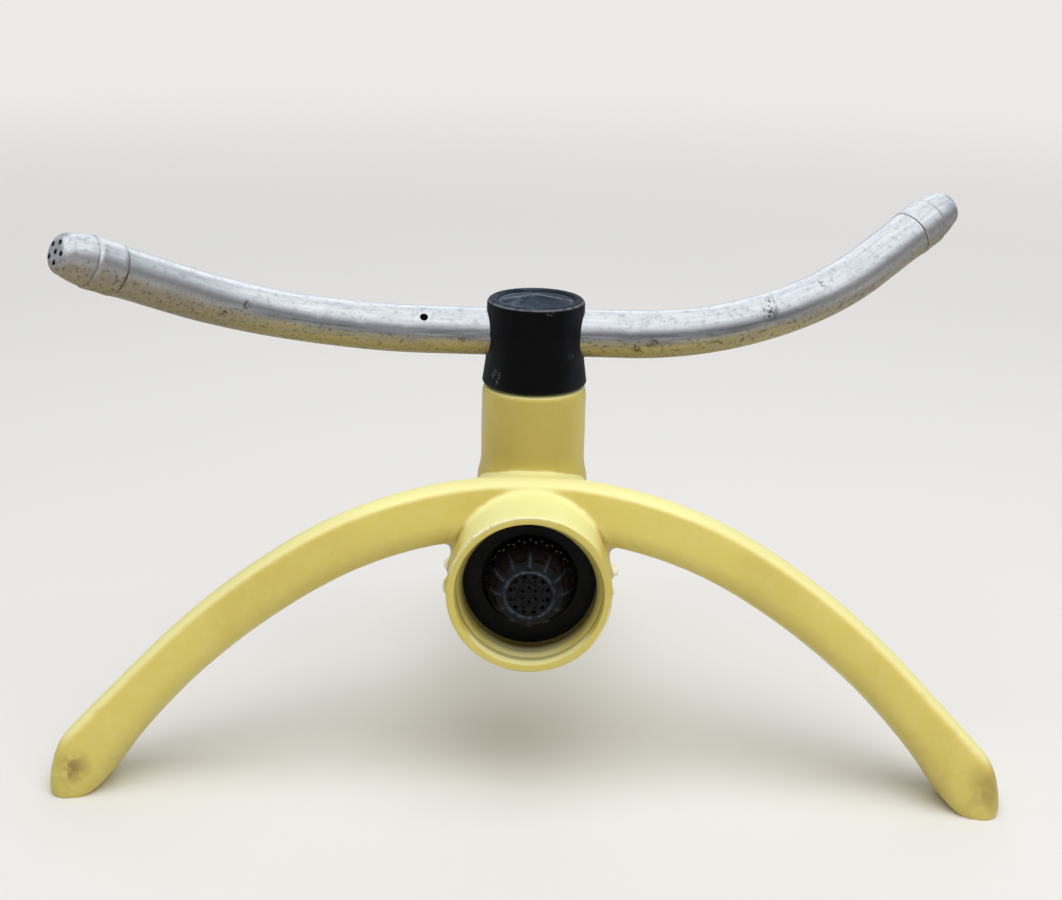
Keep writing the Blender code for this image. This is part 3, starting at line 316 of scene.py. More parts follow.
def make_piece(name, bm, material, body, nodes, sharp=38.0):
    # Puts a finished shape on the frame's joint and lets it stand for its CAD nodes
    bmesh.ops.translate(bm, vec=(0.0, AXIS.y, 0.0), verts=bm.verts)
    for face in bm.faces:
        face.smooth = True
    for edge in bm.edges:
        edge.smooth = edge_angle(edge) < math.radians(sharp)
    mesh = bpy.data.meshes.new(name)
    bm.to_mesh(mesh)
    bm.free()
    mesh.materials.append(material)
    piece = bpy.data.objects.new(name, mesh)
    bpy.context.scene.collection.objects.link(piece)
    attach(piece, body)
    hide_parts(*nodes)
    return piece


# ---- Moulded base ----


def extrude_section(bm, face):
    # The face that was extruded is taken out, except the first, which closes the leg
    made = bmesh.ops.extrude_face_region(bm, geom=[face])["geom"]
    if face.is_valid and all(len(edge.link_faces) > 2 for edge in face.edges):
        bmesh.ops.delete(bm, geom=[face], context="FACES_ONLY")
    face = next(item for item in made if isinstance(item, bmesh.types.BMFace))
    return face, [item for item in made if isinstance(item, bmesh.types.BMVert)]


def swept_leg(base, crown_height):
    # The leg's section runs down the upper edge: crown arc, shoulder arc, straight run past the foot
    half = base.thickness / 2.0
    depth = base.crown_depth
    bm = bmesh.new()
    corners = ((-half, 0.0), (half, 0.0), (half, -depth), (-half, -depth))
    face = bm.faces.new([bm.verts.new((0.0, side, crown_height + down)) for side, down in corners])
    edge_point = Vector((0.0, 0.0, crown_height))
    slope = 0.0
    distance = 0.0
    crown_length = base.crown_radius * base.crown_sweep
    curved = crown_length + base.shoulder_radius * (base.leg_slope - base.crown_sweep)
    for radius, sweep, steps in (
        (base.crown_radius, base.crown_sweep, 18),
        (base.shoulder_radius, base.leg_slope - base.crown_sweep, 12),
    ):
        centre = edge_point - Vector((math.sin(slope), 0.0, math.cos(slope))) * radius
        turn = Matrix.Rotation(sweep / steps, 3, "Y")
        for _ in range(steps):
            face, verts = extrude_section(bm, face)
            bmesh.ops.rotate(bm, cent=centre, matrix=turn, verts=verts)
            edge_point = centre + turn @ (edge_point - centre)
            slope += sweep / steps
            distance += radius * sweep / steps
            new_depth = base.crown_depth + (base.shoulder_depth - base.crown_depth) * distance / curved
            deepen(bm, verts, slope, new_depth - depth)
            depth = new_depth
    return bm, face, edge_point, slope


def deepen(bm, verts, slope, change):
    # Moves the lower two corners of a section along the section
    outward = Vector((math.sin(slope), 0.0, math.cos(slope)))
    lower = sorted(verts, key=lambda vert: vert.co.dot(outward))[:2]
    bmesh.ops.translate(bm, vec=-outward * change, verts=lower)


def run_to_foot(bm, face, edge_point, slope, base, reach, foot_height, ground_point, ground_normal):
    # Straight run, then the foot's end and sole cut flat with rounded corners
    heading = Vector((math.cos(slope), 0.0, -math.sin(slope)))
    run = (reach - base.foot_lean - edge_point.x) / heading.x
    depth = base.shoulder_depth
    # The last section reaches past the foot in one piece, so that the corners find room for their rounding
    last = 0.0
    for share in (0.1, 0.2, 0.3, 0.4, 0.5, 0.6, 1.4):
        face, verts = extrude_section(bm, face)
        bmesh.ops.translate(bm, vec=heading * run * (share - last), verts=verts)
        last = share
        new_depth = base.shoulder_depth + (base.foot_depth - base.shoulder_depth) * share ** 2.4
        if share > 1.0:
            new_depth = 2.0 * base.foot_depth - depth
        deepen(bm, verts, slope, new_depth - depth)
        depth = new_depth
    end_normal = Vector((foot_height, 0.0, base.foot_lean))
    trim(bm, Vector((reach, 0.0, 0.0)), end_normal)
    trim(bm, ground_point, ground_normal)
    bmesh.ops.recalc_face_normals(bm, faces=bm.faces)
    corners = [e for e in bm.edges if edge_angle(e) > 0.3 and e.verts[0].co.x > reach * 0.7]
    across = [e for e in corners if abs((e.verts[0].co - e.verts[1].co).normalized().y) > 0.85]
    for offset, near in (
        (4.0 * MM, Vector((reach - base.foot_lean, 0.0, foot_height))),
        (3.8 * MM, Vector((reach, 0.0, 0.0))),
        (3.3 * MM, Vector((reach - 9.0 * MM, 0.0, 0.0))),
    ):
        corner = min(across, key=lambda e: (Vector((e.verts[0].co.x, 0.0, e.verts[0].co.z)) - near).length)
        across.remove(corner)
        round_edges(bm, [corner], offset, 8, True)


def trim(bm, point, normal):
    # Cuts everything beyond a plane away and closes the opening
    everything = bm.verts[:] + bm.edges[:] + bm.faces[:]
    cut_made = bmesh.ops.bisect_plane(
        bm, geom=everything, dist=0.0000001, plane_co=point, plane_no=normal, clear_outer=True,
        clear_inner=False,
    )
    edges = [item for item in cut_made["geom_cut"] if isinstance(item, bmesh.types.BMEdge)]
    bmesh.ops.contextual_create(bm, geom=edges)


def front_arch(base):
    slant = 1.0 / math.cos(base.arch_lean)
    bm, face, edge_point, slope = swept_leg(base, base.crown_height * slant)
    ground_normal = Vector((0.0, math.sin(base.arch_lean), -math.cos(base.arch_lean)))
    ground_point = Vector((0.0, -base.thickness / 2.0, 0.0)) + ground_normal * 1.5 * MM
    reach, height = base.front_reach, base.foot_height
    run_to_foot(bm, face, edge_point, slope, base, reach, height, ground_point, ground_normal)
    middle = [f for f in bm.faces if abs(f.calc_center_median().x) < 0.00001]
    bmesh.ops.delete(bm, geom=middle, context="FACES")
    everything = bm.verts[:] + bm.edges[:] + bm.faces[:]
    bmesh.ops.mirror(bm, geom=everything, merge_dist=0.00001, axis="X")
    bmesh.ops.remove_doubles(bm, verts=bm.verts, dist=0.00001)
    bmesh.ops.recalc_face_normals(bm, faces=bm.faces)
    soften(bm, base.edge_radius, 6, clamp=False)
    lean = Matrix.Rotation(-base.arch_lean, 4, "X")
    lean_reach = base.crown_reach + base.crown_height * math.tan(base.arch_lean)
    place = Matrix.Translation((0.0, -lean_reach, 0.0)) @ lean
    return moved(bm, place @ Matrix.Translation((0.0, base.thickness / 2.0, 0.0)))


def rear_leg(base):
    bm, face, edge_point, slope = swept_leg(base, base.crown_height - base.rear_drop + base.rear_sole_cut)
    down = Vector((0.0, 0.0, -1.0))
    ground_point = Vector((0.0, 0.0, base.rear_sole_cut - 1.5 * MM))
    run_to_foot(bm, face, edge_point, slope, base, base.rear_reach, base.rear_foot_height, ground_point, down)
    soften(bm, base.edge_radius, 6, clamp=False)
    turn = Matrix.Rotation(math.radians(90.0), 4, "Z")
    return moved(bm, Matrix.Translation((0.0, 0.0, -base.rear_sole_cut)) @ turn)


def inlet_place(socket):
    # Local Z points out of the hose socket
    return Matrix.Translation((0.0, 0.0, socket.height)) @ Matrix.Rotation(math.radians(90.0), 4, "X")


def socket_back(socket):
    straight_back = socket.reach - socket.straight
    points = [(0.0, socket.seam + MM), (socket.outer, socket.seam + MM), (socket.outer, straight_back)]
    points += [(socket.tail, straight_back - socket.taper), (socket.tail, -socket.tail_end)]
    points.append((0.0, -socket.tail_end))
    bm = turned(points, 96)
    soften(bm, 2.8 * MM, 5, where=lambda e: e.verts[0].co.z < 0.0)
    return moved(bm, inlet_place(socket))


def riser_column(base, socket):
    # Its foot flares a little where it enters the legs
    radius, flare, flare_top, flare_drop = base.riser_radius, 0.7 * MM, 56.6 * MM, 3.0 * MM
    points = [(0.0, base.riser_top), (radius, base.riser_top), (radius, flare_top)]
    for step in range(1, 6):
        bend = math.radians(90.0 * step / 5.0)
        points.append((radius + flare * (1.0 - math.cos(bend)), flare_top - flare_drop * math.sin(bend)))
    points += [(radius + flare, 47.0 * MM), (radius, 45.0 * MM), (radius, socket.height)]
    bm = turned(points + [(0.0, socket.height)], 96)
    soften(bm, 0.9 * MM, 4, where=lambda e: e.verts[0].co.z > 60.0 * MM)
    return bm


def flash_lumps():
    # Ragged remains of moulding flash at both sides of the socket
    bm = bmesh.new()
    for across, reach, up, size in (
        (-15.2, 19.4, 41.6, 0.95),
        (-15.4, 20.0, 37.8, 0.85),
        (-15.2, 20.2, 36.6, 0.95),
        (15.4, 19.4, 41.0, 0.95),
        (16.2, 19.2, 40.5, 0.7),
        (15.2, 20.2, 37.0, 0.8),
    ):
        place = Matrix.Translation((across * MM, -reach * MM, up * MM))
        shape = Matrix.Diagonal((size * 0.9, size * 1.5, size, 1.0))
        made = bmesh.ops.create_icosphere(bm, subdivisions=3, radius=MM, matrix=place @ shape)
        for vert in made["verts"]:
            vert.co += noise.noise_vector(vert.co * 1100.0) * 0.35 * MM
    return bm


def concavity(bm):
    # Positive in hollows and negative on ridges, as the neighbours stand over the surface
    bm.normal_update()
    bends = []
    for vert in bm.verts:
        total = 0.0
        for edge in vert.link_edges:
            total += (edge.other_vert(vert).co - vert.co).normalized().dot(vert.normal)
        bends.append(total / max(len(vert.link_edges), 1))
    return bends


def spread(bm, values, passes):
    # Evens the values out over each point's neighbours
    bm.verts.index_update()
    for _ in range(passes):
        sums = [values[v.index] + sum(values[e.other_vert(v).index] for e in v.link_edges) for v in bm.verts]
        values = [total / (1 + len(v.link_edges)) for total, v in zip(sums, bm.verts)]
    return values


def fillet_hollows(bm):
    # Smooths where shells meet, so that each inside corner gets a moulded fillet
    for _ in range(2):
        bends = concavity(bm)
        hollow = {vert for vert, bend in zip(bm.verts, bends) if bend > 0.06}
        hollow |= {edge.other_vert(vert) for vert in hollow for edge in vert.link_edges}
        smooth(bm, [vert for vert in bm.verts if vert in hollow], 2)


def smooth(bm, verts, passes):
    for _ in range(passes):
        bmesh.ops.smooth_vert(
            bm, verts=verts, factor=0.5, mirror_clip_x=False, mirror_clip_y=False, mirror_clip_z=False,
            clip_dist=0.0, use_axis_x=True, use_axis_y=True, use_axis_z=True,
        )


def socket_radius(vert, socket):
    return math.hypot(vert.co.x, vert.co.z - socket.height)


def open_front(bm, socket):
    # Cuts the merged shell at the seam and trues its edge to the socket's radius. What is cut is listed in
    # the mesh's own order, because a set's order differs from run to run.
    ahead = {v for v in bm.verts if v.co.y < -18.5 * MM and socket_radius(v, socket) < 17.0 * MM}
    front = [f for f in bm.faces if ahead.issuperset(f.verts)]
    corners = {v for f in front for v in f.verts}
    sides = {e for f in front for e in f.edges}
    ahead = [v for v in bm.verts if v in corners] + [e for e in bm.edges if e in sides] + front
    made = bmesh.ops.bisect_plane(
        bm, geom=ahead, dist=0.0000001, clear_outer=True, clear_inner=False,
        plane_co=(0.0, -socket.seam, socket.height), plane_no=(0.0, -1.0, 0.0),
    )
    within = 0.35 * MM
    for vert in bm.verts:
        radius = socket_radius(vert, socket)
        if vert.co.y < -11.0 * MM and abs(radius - socket.outer) < within:
            pull = 1.0 - abs(radius - socket.outer) / within
            if vert.co.y < -socket.seam + 0.6 * MM:
                pull = 1.0
            scale = (radius + (socket.outer - radius) * pull) / radius
            vert.co.x *= scale
            vert.co.z = socket.height + (vert.co.z - socket.height) * scale
    return [item for item in made["geom_cut"] if isinstance(item, bmesh.types.BMEdge)]


def chip(angle_round):
    # Depth of the chips round the rim: ragged from the upper left over the top, and at the lower right
    upper = arch_share(angle_round, 118.0, 48.0)
    lower = arch_share(angle_round, -17.0, 24.0)
    rough = noise.noise(Vector((math.cos(angle_round), math.sin(angle_round), 0.3)) * 9.0)
    fine = noise.noise(Vector((math.cos(angle_round), math.sin(angle_round), 1.3)) * 26.0)
    return max(0.0, (0.26 * upper + 0.22 * lower) * (0.45 + rough + 0.9 * fine))


def arch_share(angle_round, middle, half):
    # 1 at the middle of a stretch of the rim and 0 from its ends on, in degrees
    away = abs((math.degrees(angle_round) - middle + 180.0) % 360.0 - 180.0)
    return math.cos(math.radians(90.0) * min(1.0, away / half))


def socket_mouth(socket):
    # Outer skin from the seam, rim, lead-in, thread root, washer pocket, seat and chamber
    points = [(socket.outer, socket.seam + 0.5 * MM)]
    points += [(socket.outer, socket.reach - step * MM) for step in (4.5, 2.5, 1.4, 0.8)]
    rounding = 0.45 * MM
    for turn in range(7):
        bend = math.radians(15.0 * turn)
        radius = socket.outer - rounding * (1.0 - math.cos(bend))
        points.append((radius, socket.reach - rounding * (1.0 - math.sin(bend))))
    points += [(socket.mouth + 0.55 * MM, socket.reach), (socket.mouth + 0.2 * MM, socket.reach)]
    points += [(socket.mouth + 0.06 * MM, socket.reach - 0.06 * MM), (socket.mouth, socket.reach - 0.2 * MM)]
    crest = socket.reach - socket.lead_in
    points += [(socket.major, crest), (socket.major, crest - 0.05 * MM)]
    end = socket.washer_face + 0.3 * MM
    points += [(socket.major, end + 0.05 * MM), (socket.minor, end), (socket.pocket, end - 0.02 * MM)]
    points += [(socket.pocket, socket.seat), (socket.chamber, socket.seat)]
    points += [(socket.chamber, -7.5 * MM), (0.0, -7.5 * MM)]
    bm = turned(points, 288)
    chip_width, chip_reach = 0.9 * MM, 1.6 * MM
    for vert in bm.verts:
        radius = math.hypot(vert.co.x, vert.co.y)
        if radius > socket.outer - chip_width and vert.co.z > socket.reach - chip_reach:
            depth = chip(math.atan2(vert.co.y, vert.co.x)) * MM
            share = 1.0 - min(1.0, (socket.reach - vert.co.z) / chip_reach)
            inward = min(1.0, (radius - socket.outer + chip_width) / (0.5 * MM))
            vert.co.z -= depth * 0.7 * share * inward
            scale = 1.0 - depth * 0.8 * share * inward / radius
            vert.co.x *= scale
            vert.co.y *= scale
    return moved(bm, inlet_place(socket))


def thread_ridge(socket):
    # One helical ridge, embedded a little in the wall, that runs out at both ends
    bm = bmesh.new()
    start = socket.washer_face + 0.78 * MM
    section = (
        (socket.major + 0.2 * MM, -0.85), (socket.minor + 0.1 * MM, -0.22),
        (socket.minor, 0.0), (socket.minor + 0.1 * MM, 0.22), (socket.major + 0.2 * MM, 0.85),
    )
    face = bm.faces.new([bm.verts.new((radius, 0.0, start + side * MM)) for radius, side in section])
    turns = 2.6
    steps = int(turns * 120)
    bmesh.ops.spin(
        bm, geom=[face] + face.edges[:] + face.verts[:], cent=(0.0, 0.0, 0.0), axis=(0.0, 0.0, 1.0),
        dvec=(0.0, 0.0, turns * socket.pitch / steps), angle=turns * 2.0 * math.pi, steps=steps,
        use_merge=False, use_normal_flip=False, use_duplicate=False,
    )
    bmesh.ops.remove_doubles(bm, verts=bm.verts, dist=0.000001)
    bmesh.ops.recalc_face_normals(bm, faces=bm.faces)
    run_out = 0.3
    for vert in bm.verts:
        share = (math.atan2(vert.co.y, vert.co.x) / (2.0 * math.pi)) % 1.0
        along = round((vert.co.z - start) / socket.pitch - share) + share
        out = min(1.0, max(0.0, min(along, turns - along)) / run_out)
        radius = math.hypot(vert.co.x, vert.co.y)
        scale = (radius + (socket.major + 0.15 * MM - radius) * (1.0 - out)) / radius
        vert.co.x *= scale
        vert.co.y *= scale
    return moved(bm, inlet_place(socket) @ Matrix.Rotation(math.radians(-60.0), 4, "Z"))


def base_shape(base, socket):
    shell = front_arch(base)
    for other in (rear_leg(base), socket_back(socket), riser_column(base, socket), flash_lumps()):
        join(shell, other)
    shell = through_modifier(shell, "REMESH", mode="VOXEL", voxel_size=base.voxel, adaptivity=0.0)
    smooth(shell, shell.verts[:], 5)
    fillet_hollows(shell)
    level = [v for v in shell.verts if 49.0 * MM < v.co.z < 58.0 * MM]
    smooth(shell, [v for v in level if 9.4 * MM < math.hypot(v.co.x, v.co.y) < 13.0 * MM], 10)
    for height, passes in ((30.0, 3), (21.0, 4), (15.0, 4)):
        smooth(shell, [v for v in shell.verts if v.co.z < height * MM], passes)
    for inset, passes in ((9.0, 5), (6.0, 5)):
        out = base.front_reach - inset * MM
        back = base.rear_reach - inset * MM
        smooth(shell, [v for v in shell.verts if abs(v.co.x) > out or v.co.y > back], passes)
    trim(shell, Vector((0.0, 0.0, 0.0)), Vector((0.0, 0.0, -1.0)))
    seam = open_front(shell, socket)
    store(shell, "bend", spread(shell, concavity(shell), 3))
    before = set(shell.edges)
    join(shell, socket_mouth(socket))
    rim = [e for e in shell.edges if e not in before and e.is_boundary]
    bmesh.ops.bridge_loops(shell, edges=[e for e in seam if e.is_valid and e.is_boundary] + rim)
    bmesh.ops.recalc_face_normals(shell, faces=shell.faces)
    bore = turned(
        [
            (0.0, base.riser_top + MM), (base.bearing_radius, base.riser_top + MM),
            (base.bearing_radius, base.bearing_floor), (base.passage_radius, base.bearing_floor),
            (base.passage_radius, socket.height), (0.0, socket.height),
        ],
        96,
    )
    shell = cut(shell, bore)
    join(shell, thread_ridge(socket))
    return shell


# ---- Hose washer and strainer ----


def washer_shape(socket):
    back = socket.washer_face - socket.washer_thickness
    outline = [
        (socket.washer_outer, socket.washer_face), (socket.washer_outer, back),
        (socket.washer_inner, back), (socket.washer_inner, socket.washer_face),
    ]
    bm = turned(outline, 128, closed=True)
    soften(bm, 0.35 * MM, 4)
    return moved(bm, inlet_place(socket))


def dome_radius(socket, rise):
    # Quarter ellipse from the dome's foot at rise 0 to the disc's edge at rise 1
    swell = math.sqrt(max(0.0, 1.0 - rise * rise))
    return socket.disc_radius + (socket.dome_radius - socket.disc_radius) * swell


def strainer_shape(socket):
    face = socket.washer_face
    tip = face + socket.dome_length
    wall = socket.strainer_wall
    flange_front = face - socket.washer_thickness - 0.3 * MM
    flange_back = flange_front - 0.8 * MM
    outer = []
    inner = []
    for step in range(1, 15):
        rise = math.sin(math.radians(90.0) * (1.0 - step / 14.0))
        radius = dome_radius(socket, rise)
        outer.append((radius, face + socket.dome_length * rise))
        inner.append((radius - wall, min(face + socket.dome_length * rise, tip - wall)))
    points = [(0.0, tip - 0.05 * MM), (0.5 * MM, tip - 0.05 * MM), (0.6 * MM, tip - 0.3 * MM)]
    points += [(1.75 * MM, tip - 0.3 * MM), (1.85 * MM, tip - 0.12 * MM), (2.15 * MM, tip - 0.12 * MM)]
    points += [(2.25 * MM, tip - 0.3 * MM), (4.1 * MM, tip - 0.3 * MM), (4.2 * MM, tip - 0.02 * MM)]
    points += [(4.4 * MM, tip), (socket.disc_radius, tip - 0.15 * MM)] + outer
    points += [(socket.dome_radius, flange_front), (socket.flange_radius, flange_front)]
    points += [(socket.flange_radius, flange_back), (socket.dome_radius - wall, flange_back)]
    points += inner[::-1]
    points.append((0.0, tip - wall))
    bm = cut(turned(points, 144), strainer_windows(socket))
    # The dome's inner face, which the material paints red-brown as shade
    inside = []
    for vert in bm.verts:
        rise = (vert.co.z - face) / socket.dome_length
        depth = dome_radius(socket, min(max(rise, 0.0), 1.0)) - math.hypot(vert.co.x, vert.co.y)
        inside.append(1.0 if depth > 0.3 * MM and rise < 0.9 else 0.0)
    store(bm, "inside", inside)
    store(bm, "rib", [rib_share(vert.co, socket) for vert in bm.verts])
    join(bm, strainer_nubs(socket))
    return moved(bm, inlet_place(socket))


def rib_share(point, socket):
    # 1 along the ribs between the windows and on the disc's rim
    rise = (point.z - socket.washer_face) / socket.dome_length
    radius = math.hypot(point.x, point.y)
    pitch = 360.0 / socket.ribs
    away = abs((math.degrees(math.atan2(point.y, point.x)) + pitch / 2.0) % pitch - pitch / 2.0)
    outer = radius > dome_radius(socket, min(max(rise, 0.0), 1.0)) - 0.1 * MM
    on_rib = 0.0
    if outer and rise < 0.99:
        on_rib = max(0.0, 1.0 - away / 2.8) * min(1.0, max(0.0, (rise - 0.45) / 0.25))
    on_rim = 1.0 if rise > 0.96 and abs(radius - socket.disc_radius + 0.15 * MM) < 0.2 * MM else 0.0
    return max(on_rib, on_rim)


def strainer_nubs(socket):
    # Two rows of small nubs round the dome's foot
    bm = bmesh.new()
    count = socket.ribs * 2
    for row, rise in enumerate((0.04, 0.18)):
        for index in range(count):
            turn = Matrix.Rotation(2.0 * math.pi * (index + 0.5 * row) / count, 4, "Z")
            height = socket.washer_face + socket.dome_length * rise
            place = Matrix.Translation((dome_radius(socket, rise), 0.0, height))
            bmesh.ops.create_icosphere(bm, subdivisions=2, radius=0.26 * MM, matrix=turn @ place)
    store(bm, "nub", [1.0] * len(bm.verts))
    return bm


def strainer_windows(socket):
    # Rows of windows between the ribs, each square to the dome, and the disc's openings
    bm = bmesh.new()
    wall = socket.strainer_wall
    rows = ((0.33, 2, 1.25, 0.6), (0.5, 2, 1.15, 0.7), (0.67, 1, 2.2, 0.8), (0.84, 1, 1.8, 0.75))
    for rise, split, width, height in rows:
        radius = dome_radius(socket, rise)
        step = 0.03
        fall = dome_radius(socket, rise - step) - dome_radius(socket, min(rise + step, 1.0))
        slope = math.atan2(fall, 2.0 * step * socket.dome_length)
        count = socket.ribs * split
        for index in range(count):
            turn = Matrix.Rotation(2.0 * math.pi * (index + 0.5) / count, 4, "Z")
            place = Matrix.Translation((radius, 0.0, socket.washer_face + socket.dome_length * rise))
            tilt = Matrix.Rotation(-slope, 4, "Y")
            window = Matrix.Diagonal((wall * 3.0, width * MM, height * MM, 1.0))
            bmesh.ops.create_cube(bm, size=1.0, matrix=turn @ place @ tilt @ window)
    tip = socket.washer_face + socket.dome_length
    for count, ring, wide, high in ((12, 3.45, 0.85, 0.62), (6, 1.3, 0.55, 0.6), (8, 2.75, 0.45, 0.4)):
        for index in range(count):
            turn = Matrix.Rotation(2.0 * math.pi * (index + 0.5) / count, 4, "Z")
            place = Matrix.Translation((ring * MM, 0.0, tip - wall / 2.0))
            opening = Matrix.Diagonal((high * MM, wide * MM, wall * 3.0, 1.0))
            bmesh.ops.create_cube(bm, size=1.0, matrix=turn @ place @ opening)
    return bm


# ---- Hub ----


def hub_shape(hub, arm):
    lip_foot = hub.top - hub.lip_height
    crest = hub.rim_radius - hub.lip_width / 2.0
    points = [(0.0, hub.top - 0.4 * MM), (crest - 0.8 * MM, hub.top - 0.4 * MM)]
    points.append((crest - 0.55 * MM, hub.top - 0.12 * MM))
    for step in range(9):
        bend = math.radians(90.0 * (1.0 - step / 8.0))
        radius = crest + (hub.rim_radius - crest) * math.cos(bend)
        points.append((radius, lip_foot + hub.lip_height * math.sin(bend)))
    waist_high = hub.foot + hub.waist_high
    for step in range(1, 9):
        share = step / 8.0
        radius = hub.waist_radius + (hub.rim_radius - hub.waist_radius) * (1.0 - share) ** 1.5
        points.append((radius, lip_foot + (waist_high - lip_foot) * share))
    points.append((hub.waist_radius, hub.foot + hub.waist_low))
    for step in range(1, 13):
        share = step / 12.0
        radius = hub.waist_radius + (hub.foot_radius - 0.02 * MM - hub.waist_radius) * share ** 1.15
        points.append((radius, hub.foot + hub.waist_low + (0.45 * MM - hub.waist_low) * share))
    points.append((hub.foot_radius - 0.2 * MM, hub.foot + 0.1 * MM))
    points += [(hub.foot_radius - 0.4 * MM, hub.foot), (0.0, hub.foot)]
    bm = turned(swollen(points, arm.height), 128)
    seat = hub.top - hub.cap_seat
    seat_radius = hub.rim_radius - hub.lip_width
    # From the top: the cap's seat and its spigot's hole. From below: the stem's hole and its collar's.
    spigot, spigot_end = 3.8 * MM, arm.height + 2.2 * MM
    outline = [(0.0, hub.top + MM), (seat_radius, hub.top + MM), (seat_radius, seat), (spigot, seat)]
    bm = cut(bm, turned(outline + [(spigot, spigot_end), (0.0, spigot_end)], 96))
    stem, collar, collar_top = 3.3 * MM, 4.3 * MM, hub.foot + 1.7 * MM
    outline = [(0.0, arm.height), (stem, arm.height), (stem, collar_top), (collar, collar_top)]
    bm = cut(bm, turned(outline + [(collar, hub.foot - MM), (0.0, hub.foot - MM)], 64))
    across = Vector((12.0 * MM, 0.0, 0.0))
    middle = Vector((0.0, 0.0, arm.height))
    bm = cut(bm, rods([(arm.radius + 0.06 * MM, middle - across, middle + across)], 96))
    store(bm, "painted_edge_highlight", [lip_highlight(vert.co, hub) for vert in bm.verts])
    return bm


def swollen(points, height):
    # The hub's wall stands out a little where it closes round the tubes
    outline = []
    for radius, up in points:
        share = max(0.0, 1.0 - abs(up - height) / (4.6 * MM)) if radius > 8.0 * MM else 0.0
        outline.append((radius + 0.34 * MM * share * share * (3.0 - 2.0 * share), up))
    return outline


def lip_highlight(point, hub):
    # The painted highlight along the outer edge of the lip
    radius = math.hypot(point.x, point.y)
    away = math.hypot(radius - hub.rim_radius + 0.22 * MM, point.z - hub.top + 0.35 * MM)
    return max(0.0, 1.0 - away / (0.3 * MM))


def hub_cap_shape(hub):
    # A shallow peak with a ridge from side to side, whose front and back fall away beside it
    radius = hub.rim_radius - hub.lip_width - 0.12 * MM
    foot = hub.top - hub.cap_seat + 0.3 * MM
    edge = foot + hub.cap_edge
    points = [(radius * step / 12.0, edge + hub.cap_peak * (1.0 - step / 12.0)) for step in range(12)]
    points += [(radius - 0.12 * MM, edge + 0.04 * MM), (radius, edge - 0.1 * MM), (radius, foot)]
    spigot, spigot_end = 3.5 * MM, foot - 2.6 * MM
    points += [(spigot, foot), (spigot, spigot_end), (0.0, spigot_end)]
    bm = turned(points, 128)
    for vert in bm.verts:
        from_middle = math.hypot(vert.co.x, vert.co.y)
        if vert.co.z > edge and from_middle > 0.0:
            fall = abs(vert.co.y) / from_middle * math.sin(math.pi * min(1.0, from_middle / radius))
            vert.co.z -= hub.crease * fall
            vert.co.z += 0.06 * MM * noise.noise(vert.co * 500.0) * min(1.0, (radius - from_middle) / MM)
    on_top = edge - 0.15 * MM
    store(bm, "painted_edge_highlight", [ridge_highlight(vert.co, radius) if vert.co.z > on_top else 0.0 for vert in bm.verts])
    return bm


def ridge_highlight(point, radius):
    # The painted highlight along the cap's ridge, and the fainter one round its edge
    on_ridge = max(0.0, 1.0 - abs(point.y) / (0.5 * MM)) * 0.9
    on_edge = max(0.0, 1.0 - abs(math.hypot(point.x, point.y) - radius + 0.1 * MM) / (0.3 * MM)) * 0.4
    return max(on_ridge, on_edge)


# ---- Arms ----


def extrude_ring(bm, edges, step, shrink=1.0):
    made = bmesh.ops.extrude_edge_only(bm, edges=edges)["geom"]
    verts = [item for item in made if isinstance(item, bmesh.types.BMVert)]
    bmesh.ops.translate(bm, vec=step, verts=verts)
    if shrink != 1.0:
        middle = sum((v.co for v in verts), Vector()) / len(verts)
        for vert in verts:
            vert.co = middle + (vert.co - middle) * shrink
    return [item for item in made if isinstance(item, bmesh.types.BMEdge)]


def tube_skin(arm):
    # A ring run straight, spun round the bend, run straight again and drawn in to the neck
    bm = bmesh.new()
    radius = arm.radius
    place = Matrix.Translation((arm.inner_end, 0.0, 0.0)) @ Matrix.Rotation(math.radians(90.0), 4, "Y")
    bmesh.ops.create_circle(bm, cap_ends=False, segments=72, radius=radius, matrix=place)
    edges = bm.edges[:]
    for _ in range(13):
        edges = extrude_ring(bm, edges, Vector(((arm.bend_start - arm.inner_end) / 13.0, 0.0, 0.0)))
    made = bmesh.ops.spin(
        bm, geom=edges, cent=(arm.bend_start, arm.bend_radius, 0.0), axis=(0.0, 0.0, 1.0),
        dvec=(0.0, 0.0, 0.0), angle=arm.bend_angle, steps=52, use_merge=False, use_normal_flip=False,
        use_duplicate=False,
    )
    edges = [item for item in made["geom_last"] if isinstance(item, bmesh.types.BMEdge)]
    heading = Vector((math.cos(arm.bend_angle), math.sin(arm.bend_angle), 0.0))
    for _ in range(11):
        edges = extrude_ring(bm, edges, heading * (arm.straight - 0.15 * MM) / 11.0)
    edges = extrude_ring(bm, edges, heading * 0.15 * MM, 1.0 - 0.1 * MM / radius)
    edges = extrude_ring(bm, edges, heading * 0.1 * MM, 1.0 - (arm.neck_inset - 0.1 * MM) / radius)
    extrude_ring(bm, edges, heading * (arm.neck_length - 0.1 * MM))
    bmesh.ops.recalc_face_normals(bm, faces=bm.faces)
    return bm


def unbent(arm, place):
    # A point of the bent tube as it would lie in a straight one: along, and two across
    if place.x <= arm.bend_start:
        return Vector((place.x, place.y, place.z))
    turn = math.atan2(place.x - arm.bend_start, arm.bend_radius - place.y)
    from_centre = math.hypot(place.x - arm.bend_start, arm.bend_radius - place.y)
    if turn <= arm.bend_angle:
        return Vector((arm.bend_start + arm.bend_radius * turn, arm.bend_radius - from_centre, place.z))
    end = Vector((math.sin(arm.bend_angle), 1.0 - math.cos(arm.bend_angle), 0.0)) * arm.bend_radius
    end.x += arm.bend_start
    heading = Vector((math.cos(arm.bend_angle), math.sin(arm.bend_angle), 0.0))
    past = (place - end).dot(heading)
    off = (place - end).dot(Vector((-heading.y, heading.x, 0.0)))
    return Vector((arm.bend_start + arm.bend_radius * arm.bend_angle + past, off, place.z))


